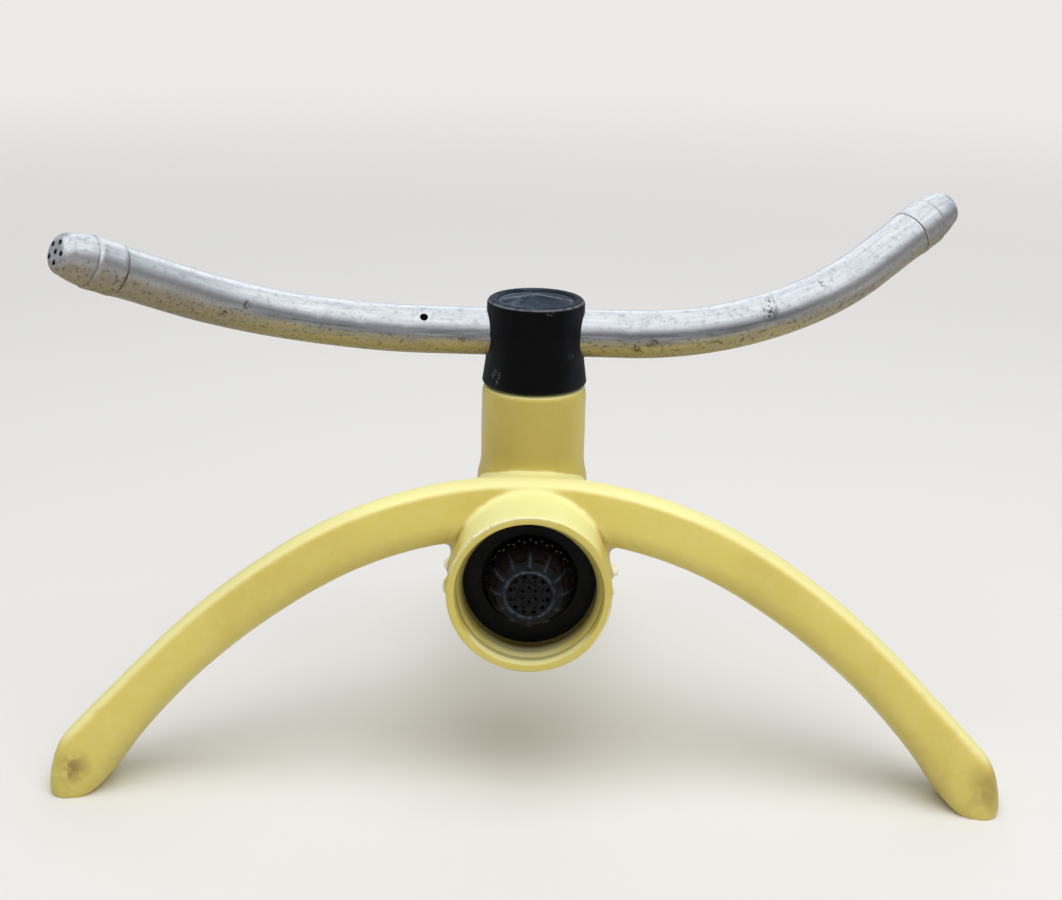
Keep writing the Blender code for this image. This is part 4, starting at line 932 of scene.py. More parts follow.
def mark_unbent(bm, arm, side):
    layer = bm.verts.layers.float_vector.new("unbent")
    for vert in bm.verts:
        vert[layer] = unbent(arm, vert.co) + Vector((0.3 * side, 0.0, 0.0))


def arm_plane(arm):
    # From the bend's own plane to the rotor: first axis along the left tube, second the way it bends
    level, up = math.cos(arm.bend_roll), math.sin(arm.bend_roll)
    rows = Matrix(((-1.0, 0.0, 0.0), (0.0, -level, up), (0.0, up, level)))
    return Matrix.Translation((0.0, 0.0, arm.height)) @ rows.to_4x4()


def tube_shape(arm, side):
    # Slight waves from bending by hand, then the wall and the side jet
    bm = tube_skin(arm)
    for vert in bm.verts:
        place = unbent(arm, vert.co)
        wave = noise.noise(Vector((place.x * 90.0 + side * 7.0, place.y * 160.0, place.z * 160.0)))
        share = min(1.0, max(0.0, (place.x - 10.0 * MM) / (3.0 * MM)))
        outward = (vert.co - centre_of(arm, place.x)).normalized()
        bend_length = arm.bend_radius * arm.bend_angle
        bent = min(1.0, max(0.0, (place.x - arm.bend_start) / bend_length))
        end = arm.bend_start + bend_length + arm.straight
        flare = min(1.0, max(0.0, 1.0 - (end - place.x) / (4.0 * MM))) if place.x <= end - 0.05 * MM else 0.0
        drawn = arm.bend_draw * math.sin(math.pi * bent) ** 2
        vert.co += outward * (wave * share * 0.05 * MM - drawn + arm.end_flare * flare ** 2)
    bmesh.ops.solidify(bm, geom=bm.faces[:], thickness=arm.wall)
    moved(bm, arm_plane(arm))
    aim = Vector((0.0, -math.cos(arm.jet_angle), math.sin(arm.jet_angle)))
    middle = Vector((-arm.jet_reach, 0.0, arm.height))
    bm = cut(bm, rods([(arm.jet_radius, middle + aim * 2.8 * MM, middle + aim * 6.0 * MM)], 32))
    moved(bm, arm_plane(arm).inverted())
    mark_unbent(bm, arm, side)
    moved(bm, arm_plane(arm))
    return moved(bm, Matrix.Rotation(math.pi * side, 4, "Z"))


def centre_of(arm, along):
    # Point of the bent centre line at a distance along it
    if along <= arm.bend_start:
        return Vector((along, 0.0, 0.0))
    turn = min((along - arm.bend_start) / arm.bend_radius, arm.bend_angle)
    past = along - arm.bend_start - arm.bend_radius * turn
    level, up = math.cos(turn), math.sin(turn)
    point = Vector((arm.bend_start + arm.bend_radius * up, arm.bend_radius * (1.0 - level), 0.0))
    return point + Vector((level, up, 0.0)) * past


def end_cap_shape(arm, side):
    # Pressed thin: skirt with a rolled mouth, a shoulder step, a slimmer nose and a rounded, pierced end
    wall = arm.cap_wall
    end = arm.cap_length
    nose_foot = arm.cap_skirt + 0.6 * MM
    corner = (arm.cap_nose - arm.cap_round, end - arm.cap_round)
    outer = [(0.0, end), (1.2 * MM, end - 0.02 * MM)]
    for step in range(10):
        bend = math.radians(90.0 - 10.0 * step)
        outer.append((corner[0] + arm.cap_round * math.cos(bend), corner[1] + arm.cap_round * math.sin(bend)))
    for step in range(1, 7):
        share = step / 6.0
        bulge = 0.12 * MM * math.sin(math.pi * share)
        radius = arm.cap_nose + (arm.cap_shoulder - arm.cap_nose) * share + bulge
        outer.append((radius, corner[1] + (nose_foot + 0.15 * MM - corner[1]) * share))
    outer += [(arm.cap_shoulder - 0.1 * MM, nose_foot), (arm.cap_shoulder - 0.1 * MM, nose_foot - 0.12 * MM)]
    mouth = -0.22 * MM
    for inset, height in (
        (0.1 * MM, arm.cap_skirt + 0.2 * MM), (0.0, arm.cap_skirt - 0.05 * MM),
        (0.01 * MM, arm.cap_skirt - 0.5 * MM), (0.04 * MM, arm.cap_skirt / 2.0), (0.03 * MM, 1.2 * MM),
        (0.0, 0.5 * MM), (0.02 * MM, -0.06 * MM), (0.14 * MM, mouth),
    ):
        outer.append((arm.cap_radius - inset, height))
    inner_nose = arm.cap_nose - wall
    inner_skirt = arm.cap_radius - wall
    inner_end = end - 0.8 * MM
    inner = [(inner_skirt, mouth), (inner_skirt, arm.cap_skirt), (arm.cap_shoulder - wall, nose_foot)]
    inner += [(inner_nose, inner_end - 0.85 * MM), (inner_nose - 0.85 * MM, inner_end), (0.0, inner_end)]
    bm = turned(outer + inner, 72)
    for vert in bm.verts:
        if math.hypot(vert.co.x, vert.co.y) > arm.cap_nose - 0.1 * MM and vert.co.z > 0.3 * MM:
            wave = noise.noise(vert.co * 260.0 + Vector((side * 5.0, 0.0, 0.0)))
            vert.co += Vector((vert.co.x, vert.co.y, 0.0)).normalized() * 0.05 * MM * wave
    spots = [Vector()]
    for hole in range(5):
        turn = 2.0 * math.pi * hole / 5.0
        spots.append(Vector((arm.hole_ring * math.cos(turn), arm.hole_ring * math.sin(turn), 0.0)))
    low, high = Vector((0.0, 0.0, inner_end - MM)), Vector((0.0, 0.0, end + MM))
    bm = cut(bm, rods([(arm.hole_radius, spot + low, spot + high) for spot in spots], 20))
    heading = Vector((math.cos(arm.bend_angle), math.sin(arm.bend_angle), 0.0))
    reach = arm.bend_start + arm.bend_radius * arm.bend_angle + arm.straight + 0.3 * MM
    outward = arm_plane(arm).to_3x3() @ heading
    start = arm_plane(arm) @ centre_of(arm, reach)
    place = Matrix.Translation(start) @ outward.to_track_quat("Z", "Y").to_matrix().to_4x4()
    layer = bm.verts.layers.float_vector.new("unbent")
    for vert in bm.verts:
        vert[layer] = Vector((reach + vert.co.z + 0.3 * side, vert.co.x, vert.co.y))
    seam = nose_foot - 0.06 * MM
    store(bm, "groove", [max(0.0, 1.0 - abs(vert.co.z - seam) / (0.14 * MM)) for vert in bm.verts])
    moved(bm, place)
    return moved(bm, Matrix.Rotation(math.pi * side, 4, "Z"))


# ---- Materials ----

SMOOTH = {"interpolation_type": "SMOOTHSTEP"}
TIMES = {"operation": "MULTIPLY"}
TIMES_PLUS = {"operation": "MULTIPLY_ADD"}
SUM = {"operation": "ADD", "use_clamp": True}
LARGER = {"operation": "MAXIMUM"}


def add_node(tree, kind, *values, output=0, **settings):
    # Adds a node and gives one of its outputs. Values go to its inputs in their order. A setting goes to
    # the input of its name if it starts with a capital, to input 6 if it is i6, and else to the property.
    node = tree.nodes.new("ShaderNode" + kind)
    given = list(enumerate(values))
    for name, value in settings.items():
        if name[0].isupper():
            given.append((name, value))
        elif name[1:].isdigit():
            given.append((int(name[1:]), value))
        else:
            setattr(node, name, value)
    for place, value in given:
        if isinstance(value, bpy.types.NodeSocket):
            tree.links.new(value, node.inputs[place])
        else:
            node.inputs[place].default_value = value
    return node.outputs[output] if node.outputs else node


def patches(add, place, millimetres, low, high, detail=3.0, roughness=0.55, out=(0.0, 1.0)):
    # Blotches about this many millimetres across, where the noise passes from the low to the high value
    cloud = add("TexNoise", place, Scale=1.0 / (millimetres * MM), Detail=detail, Roughness=roughness)
    return add("MapRange", cloud, low, high, *out, **SMOOTH)


def near(add, place, point, low, high):
    # 1 at a spot on the piece, falling to 0 between the two distances in millimetres
    spot = Vector(point) * MM + Vector((0.0, AXIS.y, 0.0))
    away = add("VectorMath", place, tuple(spot), operation="DISTANCE", output="Value")
    return add("MapRange", away, low * MM, high * MM, 1.0, 0.0, **SMOOTH)


def overlap(add, first, *others):
    # Where all the masks meet
    for mask in others:
        first = add("Math", first, mask, **TIMES)
    return first


def layered(add, base, *layers):
    # Lays colours over the first one: each with its mask, its amount and its colour
    for mask, amount, top in layers:
        share = mask if amount == 1.0 else add("Math", mask, amount, **TIMES)
        base = add("Mix", i0=share, i6=as_colour(base), i7=as_colour(top), data_type="RGBA", output=2)
    return base


def as_colour(value):
    # Takes a hex value, a setting's colour or a node's output
    if isinstance(value, str):
        return linear(value)
    return value if isinstance(value, bpy.types.NodeSocket) else (*value, 1.0)


def start_material(name, metallic=0.0, ior=1.5, roughness=0.5):
    material = bpy.data.materials.new(name)
    material.use_nodes = True
    shader = material.node_tree.nodes["Principled BSDF"]
    shader.inputs["Roughness"].default_value = roughness
    shader.inputs["Metallic"].default_value = metallic
    if metallic == 0.0:
        shader.inputs["IOR"].default_value = ior
    add = partial(add_node, material.node_tree)
    return material, add, shader, add("TexCoord", output="Object")


def finish_surface(add, shader, place, base, rough, *grain):
    # Links the colour, the roughness and a stack of bumps. Each bump is a mask, or a noise size in
    # millimetres and its detail, with its depth in millimetres and its strength.
    links = shader.id_data.links
    links.new(base, shader.inputs["Base Color"])
    if rough:
        links.new(rough, shader.inputs["Roughness"])
    normal = None
    for height, depth, strength in grain:
        if isinstance(height, tuple):
            size, detail = height
            height = add("TexNoise", place, Scale=1.0 / (size * MM), Detail=detail, Roughness=0.55)
        under = {"Normal": normal} if normal else {}
        normal = add("Bump", Height=height, Distance=depth * MM, Strength=strength, **under)
    links.new(normal, shader.inputs["Normal"])


def moulded_polypropylene(finish):
    # Injection-moulded polypropylene: waxy half gloss, faint mottling, painted highlights on faces turned up,
    # painted shade on the riser's front, in the socket's mouth and on the right foot's end, and darker brown
    # in the corners
    material, add, shader, place = start_material("moulded_yellow_polypropylene", ior=1.49)
    spot = add("SeparateXYZ", place).node.outputs
    facing = add("SeparateXYZ", add("TexCoord", output="Normal")).node.outputs
    inside = add("Attribute", attribute_name="inside", output="Fac")
    worn = add("Attribute", attribute_name="worn", output="Fac")
    # Painted highlight: faces turned up, such as the upper edges, are painted paler and a little greener than
    # the faces, with a painted golden band just below
    upward_highlight = add("MapRange", facing["Z"], 0.45, 0.68, **SMOOTH)
    painted_golden_band = add("MapRange", facing["Z"], 0.37, 0.5, **SMOOTH)
    # Painted highlight on the socket's top, where it faces up
    socket_top_highlight = overlap(
        add, upward_highlight, add("MapRange", spot["Z"], 48.0 * MM, 52.0 * MM, **SMOOTH),
        add("MapRange", spot["Y"], AXIS.y - 13.0 * MM, AXIS.y - 17.0 * MM, **SMOOTH),
    )
    dirt, left_foot = grime_and_painted_shade(add, place, spot)
    base = layered(
        add, finish.yellow,
        (patches(add, place, 26.0, 0.35, 0.68, 2.0), 0.6, finish.golden),
        (patches(add, place, 2.4, 0.35, 0.8, 4.0), 0.08, finish.worn),
        (riser_front(add, place, spot, facing), 0.5, "#A08836"),
        (junction_line(add, place), 0.5, "#6E5A22"),
        # Grime and darker hollows, with painted shade on the right front foot's end
        (dirt, 1.0, finish.grime),
        (left_foot, 0.6, "#6A5048"),
        (painted_golden_band, 0.3, "#DCBB58"),
        (upward_highlight, 0.68, "#F7F5B2"),
        (socket_top_highlight, 0.6, "#F3F3A8"),
        # Painted shade inside the socket's mouth and chamber
        (inside, 0.86, "#3A2E12"),
        (worn, 1.0, "#EDEBD0"),
    )
    cloud = add("TexNoise", place, Scale=1.0 / (3.0 * MM), Detail=4.0, Roughness=0.55)
    scuff = patches(add, place, 0.8, 0.5, 0.66, 4.0, 0.7)
    rough = add("Math", worn, 0.3, add("Math", cloud, 0.18, 0.33, **TIMES_PLUS), **TIMES_PLUS)
    # Orange peel of the mould about 2 mm across, fine grain drawn at 0.35 mm so that it shows
    finish_surface(
        add, shader, place, base, rough,
        ((2.2, 2.0), 0.06, 0.3), ((0.35, 2.0), 0.015, 0.25), (scuff, 0.03, 0.1),
    )
    return material


def riser_front(add, place, spot, facing):
    # The riser's front, which stands in the shade of the hub
    level = add("Mapping", place, Scale=(1.0, 1.0, 0.0))
    out = add("VectorMath", level, (0.0, AXIS.y, 0.0), operation="DISTANCE", output="Value")
    return overlap(
        add, add("MapRange", out, 10.4 * MM, 11.6 * MM, 1.0, 0.0, **SMOOTH),
        add("MapRange", spot["Z"], 54.0 * MM, 60.0 * MM, **SMOOTH),
        add("MapRange", facing["Z"], 0.5, 0.15, **SMOOTH),
        add("MapRange", facing["Y"], -0.35, -0.9, **SMOOTH),
    )


def grime_and_painted_shade(add, place, spot):
    # Darker in the hollows, grime specks and smears near the ground, a darker blotch and a stain dot on the
    # left front foot, and painted shade on the right front foot's end
    hollow = add("MapRange", add("Attribute", attribute_name="bend", output="Fac"), 0.02, 0.1, **SMOOTH)
    speck = patches(add, place, 0.8, 0.66, 0.74)
    low = add("MapRange", spot["Z"], 0.0, 22.0 * MM, 1.0, 0.0, **SMOOTH)
    smear = overlap(add, patches(add, place, 5.0, 0.5, 0.78, 4.0, 0.65), low)
    blotch = patches(add, place, 2.7, 0.3, 0.62, 4.0)
    left = overlap(add, near(add, place, (-82.3, -33.7, 5.6), 0.6, 4.4), blotch)
    even = add("MapRange", blotch, 0.0, 1.0, 0.35, 0.75, **SMOOTH)
    # Painted shade on the right front foot's end, where it turns to the side
    right = overlap(add, near(add, place, (85.2, -33.5, 5.6), 1.5, 6.5), even)
    dirt = 0.0
    for mask, amount in ((hollow, 0.4), (speck, 0.1), (smear, 0.22), (left, 0.8), (right, 0.75)):
        dirt = add("Math", mask, amount, dirt, use_clamp=True, **TIMES_PLUS)
    return dirt, near(add, place, (-82.6, -34.3, 4.4), 0.2, 0.9)


def junction_line(add, place):
    # The thin darker line where the round socket leaves the leaning face of the arch
    lean = math.tan(math.radians(20.0))
    crown_reach, crown_height, fillet = 14.8 * MM, 57.4 * MM, 0.3 * MM
    across = add("Mapping", place, Scale=(1.0, 0.0, 1.0))
    out = add("VectorMath", across, (0.0, 0.0, 39.0 * MM), operation="DISTANCE", output="Value")
    off_wall = add("Math", out, 15.0 * MM + fillet, operation="SUBTRACT")
    off_wall = add("Math", off_wall, operation="ABSOLUTE")
    off_face = add("VectorMath", place, (0.0, 1.0, -lean), operation="DOT_PRODUCT", output="Value")
    to_face = crown_reach + fillet + crown_height * lean - AXIS.y
    off_face = add("Math", add("Math", off_face, to_face, operation="ADD"), operation="ABSOLUTE")
    return overlap(
        add, add("MapRange", off_wall, 0.1 * MM, 0.7 * MM, 1.0, 0.0, **SMOOTH),
        add("MapRange", off_face, 0.3 * MM, 1.1 * MM, 1.0, 0.0, **SMOOTH),
    )


def moulded_black(finish):
    # Injection-moulded black nylon: deep black and dull, slate dust and painted sheen on top and on the
    # flanks, a painted highlight along the lip and ridge
    material, add, shader, place = start_material("moulded_black_nylon", ior=1.53)
    shader.inputs["Specular IOR Level"].default_value = 0.07
    shader.inputs["Sheen Weight"].default_value = 0.03
    shader.inputs["Sheen Roughness"].default_value = 0.35
    shader.inputs["Sheen Tint"].default_value = linear("#9FB0C8")
    facing = add("SeparateXYZ", add("TexCoord", output="Normal"), output="Z")
    side = add("SeparateXYZ", place, output="X")
    # Slate dust with painted sheen on the faces turned up, and paler patches of painted sheen on the left
    top = add("MapRange", facing, 0.55, 0.93, **SMOOTH)
    left = add("MapRange", side, 3.0 * MM, -4.0 * MM, 0.1, 0.7, **SMOOTH)
    pale = overlap(add, top, patches(add, place, 2.4, 0.38, 0.72, 4.0, 0.65), left)
    # Painted sheen on the flanks, broken into streaks like dust
    flank = add("MapRange", add("Math", side, operation="ABSOLUTE"), 4.0 * MM, 9.5 * MM, **SMOOTH)
    upright = add("Mapping", place, Scale=(1.0, 1.0, 0.3))
    film_and_painted_reflection = overlap(add, flank, patches(add, upright, 1.6, 0.4, 0.74, 4.0, out=(0.3, 0.75)))
    # A scrape at the lower left, a nick in the lip and a scratch at the lower right
    marks = 0.0
    for point, low, high, size, noise_low, noise_high in (
        ((-7.4, -6.4, 73.4), 0.4, 2.2, 0.55, 0.52, 0.6),
        ((2.6, -8.8, 86.6), 0.3, 1.1, 0.5, 0.45, 0.55),
        ((6.6, -6.3, 77.8), 0.2, 0.9, 0.5, 0.5, 0.6),
    ):
        broken = patches(add, place, size, noise_low, noise_high)
        mark = overlap(add, near(add, place, point, low, high), broken)
        marks = add("Math", mark, marks, **LARGER)
    marks = add("Math", marks, 0.28, **TIMES)
    # Patches that break up the painted highlight along the lip and ridge
    worn = patches(add, place, 1.2, 0.3, 0.55, 4.0, 0.65, out=(0.25, 1.0))
    painted_edge_highlight = overlap(add, add("Attribute", attribute_name="painted_edge_highlight", output="Fac"), worn, 0.62)
    base = layered(
        add, finish.black,
        (top, 0.92, finish.dust_and_sheen),
        (pale, 1.0, "#5C6C80"),
        (film_and_painted_reflection, 1.0, "#26292F"),
        # Pale grey for the scrape, nick and scratch, and for the painted highlight on the lip and ridge
        (add("Math", marks, painted_edge_highlight, **LARGER), 1.0, "#9AA1AA"),
    )
    cloud = add("TexNoise", place, Scale=1.0 / (2.0 * MM), Detail=4.0, Roughness=0.55)
    rough = add("Math", cloud, 0.3, 0.45, **TIMES_PLUS)
    finish_surface(
        add, shader, place, base, rough,
        ((1.4, 3.0), 0.05, 0.35), ((0.3, 2.0), 0.02, 0.3), (marks, 0.05, 0.4),
    )
    return material


def drawn_aluminium(finish, name, dirt_amount, dull):
    # Drawn aluminium: bright brushed upper side, painted grey reflection along the flank, and underneath a
    # brown speckled film, partly tarnish and partly painted reflection of the ground and the yellow base
    material, add, shader, place = start_material(name, metallic=1.0)
    flat = add("Attribute", attribute_name="unbent", output="Vector")
    along = add("Mapping", flat, Scale=(0.06, 1.0, 1.0))
    streak = add("TexNoise", along, Scale=1.0 / (0.6 * MM), Detail=4.0, Roughness=0.6)
    blotch = add("TexNoise", flat, Scale=1.0 / (4.0 * MM), Detail=4.0, Roughness=0.65)
    brushed = add("MapRange", streak, 0.3, 0.72, **SMOOTH)
    # How far the wall faces up, with borders that wander and fray along the brushing
    tilt = add("SeparateXYZ", add("TexCoord", output="Normal"), output="Z")
    for height, amount in ((blotch, 0.3), (streak, 0.34)):
        fray = add("Math", height, amount, -amount / 2.0, use_clamp=True, **TIMES_PLUS)
        tilt = add("Math", tilt, fray, operation="ADD")
    reach = add("Math", add("SeparateXYZ", place, output="X"), operation="ABSOLUTE")
    outer = add("MapRange", reach, 42.0 * MM, 62.0 * MM, **SMOOTH)
    lower = add("MapRange", tilt, 0.35, -0.2, **SMOOTH)
    # Painted grey reflection along the flank, paler towards the tube's outer end
    painted_flank_reflection = layered(add, "#989A9F", (brushed, 1.0, "#707072"), (outer, 0.6, "#B9B7B6"))
    # Underside film: partly tarnish, partly painted reflection of the ground and the yellow base
    film_and_painted_reflection = layered(add, finish.tarnish_and_reflection, (brushed, 1.0, "#938D82"), (outer, 0.7, "#8C8377"))
    # Painted reflection of the yellow base on the underside, weaker towards the tube's outer end
    painted_base_reflection = overlap(
        add, add("MapRange", tilt, -0.35, -0.6, **SMOOTH), add("MapRange", tilt, -0.98, -0.75, **SMOOTH),
        add("MapRange", outer, 0.0, 1.0, 1.0, 0.2, **SMOOTH), brushed,
    )
    dents = overlap(
        add, patches(add, flat, 1.3, 0.5, 0.68, 5.0, 0.7), add("MapRange", tilt, 0.1, 0.5, **SMOOTH)
    )
    pits = overlap(add, patches(add, flat, 0.5, 0.66, 0.72, 2.0, 0.5), 0.38)
    settled = add("Math", lower, 0.55, 0.03, **TIMES_PLUS)
    grit = overlap(add, patches(add, flat, 0.8, 0.53, 0.64, 4.0, 0.75), settled)
    dirt = overlap(add, add("Math", pits, grit, **LARGER), dirt_amount)
    groove = overlap(add, add("Attribute", attribute_name="groove", output="Fac"), 0.25)
    for mask in (tube_marks(add, place), groove):
        dirt = add("Math", dirt, mask, **LARGER)
    base = layered(
        add, finish.aluminium,
        (brushed, 0.6, "#C3CAD3"),
        # Painted grey reflection along the flank
        (add("MapRange", tilt, 0.62, 0.2, **SMOOTH), 1.0, painted_flank_reflection),
        # Underside film, partly tarnish and partly painted reflection
        (add("MapRange", tilt, 0.08, -0.3, **SMOOTH), 0.9, film_and_painted_reflection),
        # Painted reflection of the ground: darker brown at the very bottom
        (add("MapRange", tilt, -0.5, -0.95, **SMOOTH), 0.6, "#776A3C"),
        # Painted reflection of the yellow base
        (painted_base_reflection, 0.5, "#C4B660"),
        (dents, 0.42, "#8D949E"),
        (dirt, 1.0, "#3E382C"),
    )
    rough = dull
    for mask, amount in ((streak, 0.22), (lower, 0.14), (dirt, 0.4)):
        rough = add("Math", mask, amount, rough, use_clamp=True, **TIMES_PLUS)
    finish_surface(
        add, shader, place, base, rough,
        (streak, 0.03, 0.35), (blotch, 0.12, 0.25), (dirt, 0.06, 0.3),
    )
    return material


def tube_marks(add, place):
    # Dark scratches and rubbed spots, where hands and ground have left them
    spots = 0.0
    for point, size in (
        ((43.5, 0.6, 85.4), 1.7), ((43.6, 2.3, 87.2), 1.0), ((21.7, -4.3, 80.1), 1.1),
        ((18.6, -4.1, 78.9), 1.0), ((-13.5, -4.4, 80.0), 0.7), ((-51.6, -13.1, 87.6), 0.9),
        ((-55.3, -15.2, 86.6), 0.6), ((53.6, 6.1, 89.7), 0.8),
    ):
        spots = add("Math", near(add, place, point, size * 0.4, size * 1.4), spots, **LARGER)
    return overlap(add, spots, patches(add, place, 0.6, 0.47, 0.55, 4.0, 0.7), 0.75)


def moulded_rubber(name, code):
    # Moulded rubber: dull black, fine bloom, a little uneven
    material, add, shader, place = start_material(name, ior=1.52)
    shader.inputs["Specular IOR Level"].default_value = 0.15
    base = layered(add, code, (patches(add, place, 1.8, 0.4, 0.75, 4.0), 1.0, "#131110"))
    cloud = add("TexNoise", place, Scale=1.0 / (1.2 * MM), Detail=3.0, Roughness=0.55)
    rough = add("Math", cloud, 0.25, 0.5, **TIMES_PLUS)
    finish_surface(add, shader, place, base, rough, ((0.8, 3.0), 0.05, 0.4))
    return material


def limed_strainer():
    # Moulded brown-black polypropylene: dull, blue-grey lime and a painted highlight on the ribs and the
    # disc's rim, red-brown painted shade inside, pale nubs
    material, add, shader, place = start_material("moulded_dark_strainer", ior=1.49)
    shader.inputs["Specular IOR Level"].default_value = 0.1
    inside, rib, nub = (
        add("Attribute", attribute_name=name, output="Fac") for name in ("inside", "rib", "nub")
    )
    height = add("SeparateXYZ", place, output="Z")
    # Painted shade inside the dome, stronger higher up
    inner_shade = add("MapRange", height, 38.0 * MM, 43.0 * MM, 0.25, 1.0, **SMOOTH)
    pale = add("MapRange", height, 41.0 * MM, 46.0 * MM, 0.05, 0.42, **SMOOTH)
    lime = patches(add, place, 1.3, 0.3, 0.65, 4.0, 0.65)
    # Lime with a painted highlight on the ribs and the disc's rim, and a little lime all over
    share = add("Math", overlap(add, rib, lime, 0.3), add("Math", lime, 0.03, **TIMES), **SUM)
    base = layered(
        add, "#080707",
        (overlap(add, inside, inner_shade), 1.0, "#5A2A24"),
        (share, 1.0, "#6B7583"),
        (overlap(add, nub, pale), 1.0, "#9C8F83"),
    )
    finish_surface(add, shader, place, base, None, ((0.9, 3.0), 0.05, 0.5))
    return material


def turned_metal_or_nylon(name, first, second, roughness, metallic):
    # Turned on a lathe: fine rings about the rotor's axis, drawn 0.35 mm apart so that they show
    material, add, shader, place = start_material(name, metallic=metallic, roughness=roughness)
    rings = add(
        "TexWave", add("Mapping", place, Location=(0.0, -AXIS.y, 0.0)), Scale=1.0 / (0.35 * MM * 3.18),
        Distortion=0.6, wave_type="RINGS", rings_direction="Z", output="Fac",
    )
    base = layered(add, first, (patches(add, place, 3.0, 0.35, 0.7, 4.0), 1.0, second))
    finish_surface(add, shader, place, base, None, (rings, 0.02, 0.4), ((1.0, 3.0), 0.03, 0.3))
    return material


def dress_node(name, material):
    # Gives a carried-over CAD node its material and keeps its mesh
    node = FRAME["nodes"][name]
    node.data.materials.clear()
    node.data.materials.append(material)


# ---- Operators ----


class SPRINKLER_OT_base(bpy.types.Operator):
    """Builds the moulded base with its legs, riser and threaded hose socket"""

    bl_idname = "sprinkler.base"
    bl_label = "Moulded Base"

    def execute(self, context):
        scene = context.scene
        shape = base_shape(scene.sprinkler_base, scene.sprinkler_socket)
        store(shape, "worn", rim_wear(shape, scene.sprinkler_socket))
        store(shape, "inside", mouth_shade(shape, scene.sprinkler_socket))
        material = moulded_polypropylene(scene.sprinkler_finish)
        make_piece("moulded_base", shape, material, "base", ["base_body"])
        return {"FINISHED"}


def rim_wear(bm, socket):
    # How pale each point is: chipped rim and the flash lumps
    values = []
    lumps = [Vector((side, -19.8, height)) * MM for side in (-15.8, 15.8) for height in (41.0, 37.0)]
    for vert in bm.verts:
        across, up = vert.co.x, vert.co.z - socket.height
        radius = math.hypot(across, up)
        value = 0.0
        if vert.co.y < -socket.reach + 0.46 * MM and -0.42 * MM < radius - socket.outer < 0.2 * MM:
            round_it = math.atan2(up, across)
            worn_arch = max(arch_share(round_it, 118.0, 48.0), arch_share(round_it, -22.0, 20.0))
            value = worn_arch ** 0.4 * (0.55 + 0.4 * noise.noise(Vector((across, up, 0.0)) * 900.0))
        for lump in lumps:
            if radius > socket.outer + 0.1 * MM:
                value = max(value, 0.95 - max(0.0, (vert.co - lump).length - 1.2 * MM) / (0.7 * MM))
        values.append(value)
    return values


def mouth_shade(bm, socket):
    # Painted shade on the mouth's inner wall, darker deeper in: from the end of the lead-in on
    values = []
    for vert in bm.verts:
        radius = math.hypot(vert.co.x, vert.co.z - socket.height)
        depth = vert.co.y + socket.reach - socket.lead_in
        # Behind the washer's pocket only the chamber counts, as the socket's outside is slimmer there
        wall = socket.major + 0.02 * MM if depth < 12.0 * MM else socket.chamber + 0.1 * MM
        inside = radius < wall and 0.0 <= depth < 30.0 * MM
        values.append(min(1.0, 0.42 + depth / (5.0 * MM)) if inside else 0.0)
    return values


class SPRINKLER_OT_inlet(bpy.types.Operator):
    """Builds the hose washer and the domed strainer"""

    bl_idname = "sprinkler.inlet"
    bl_label = "Hose Washer and Strainer"

    def execute(self, context):
        socket = context.scene.sprinkler_socket
        rubber = moulded_rubber("moulded_washer_rubber", "#060505")
        make_piece("hose_washer", washer_shape(socket), rubber, "base", ["inlet_washer"])
        strainer = strainer_shape(socket)
        make_piece("dome_strainer", strainer, limed_strainer(), "base", ["inlet_strainer"])
        return {"FINISHED"}


class SPRINKLER_OT_bearing(bpy.types.Operator):
    """Gives the stem, bush, seals and thrust washers their materials"""

    bl_idname = "sprinkler.bearing"
    bl_label = "Bearing"

    def execute(self, context):
        nylon = turned_metal_or_nylon("turned_white_nylon", "#DAD6CC", "#C6C0B0", 0.45, 0.0)
        brass = turned_metal_or_nylon("turned_brass", "#C9A55C", "#A98A4A", 0.32, 1.0)
        fibre = turned_metal_or_nylon("punched_fibre", "#8C3A26", "#6E2C1E", 0.8, 0.0)
        rubber = moulded_rubber("moulded_seal_rubber", "#0B0B0B")
        for name in ("lower_thrust_washer", "upper_thrust_washer", "wear_washer"):
            dress_node(name, nylon)
        for name in ("thrust_seal", "bush_o_ring"):
            dress_node(name, rubber)
        for name in ("bearing_bush", "rotor_stem"):
            dress_node(name, brass)
        dress_node("stem_gasket", fibre)
        return {"FINISHED"}


class SPRINKLER_OT_hub(bpy.types.Operator):
    """Builds the black hub and the cap in its top"""

    bl_idname = "sprinkler.hub"
    bl_label = "Hub"

    def execute(self, context):
        scene = context.scene
        black = moulded_black(scene.sprinkler_finish)
        hub = hub_shape(scene.sprinkler_hub, scene.sprinkler_arm)
        make_piece("black_hub", hub, black, "rotor", ["rotor_hub"])
        cap = hub_cap_shape(scene.sprinkler_hub)
        make_piece("hub_cap", cap, black, "rotor", ["hub_top_cap"], sharp=18.0)
        return {"FINISHED"}


class SPRINKLER_OT_arms(bpy.types.Operator):
    """Builds the bent tubes and their pierced end caps"""

    bl_idname = "sprinkler.arms"
    bl_label = "Arms"

    def execute(self, context):
        arm = context.scene.sprinkler_arm
        finish = context.scene.sprinkler_finish
        tube = drawn_aluminium(finish, "drawn_aluminium_tube", 0.9, 0.2)
        pressed = drawn_aluminium(finish, "pressed_aluminium_cap", 1.0, 0.26)
        for side, name in enumerate(("left", "right")):
            bent = tube_shape(arm, side)
            make_piece(name + "_tube", bent, tube, "rotor", [name + "_arm_tube"])
            cap = end_cap_shape(arm, side)
            make_piece(name + "_cap", cap, pressed, "rotor", [name + "_end_cap"])
        return {"FINISHED"}


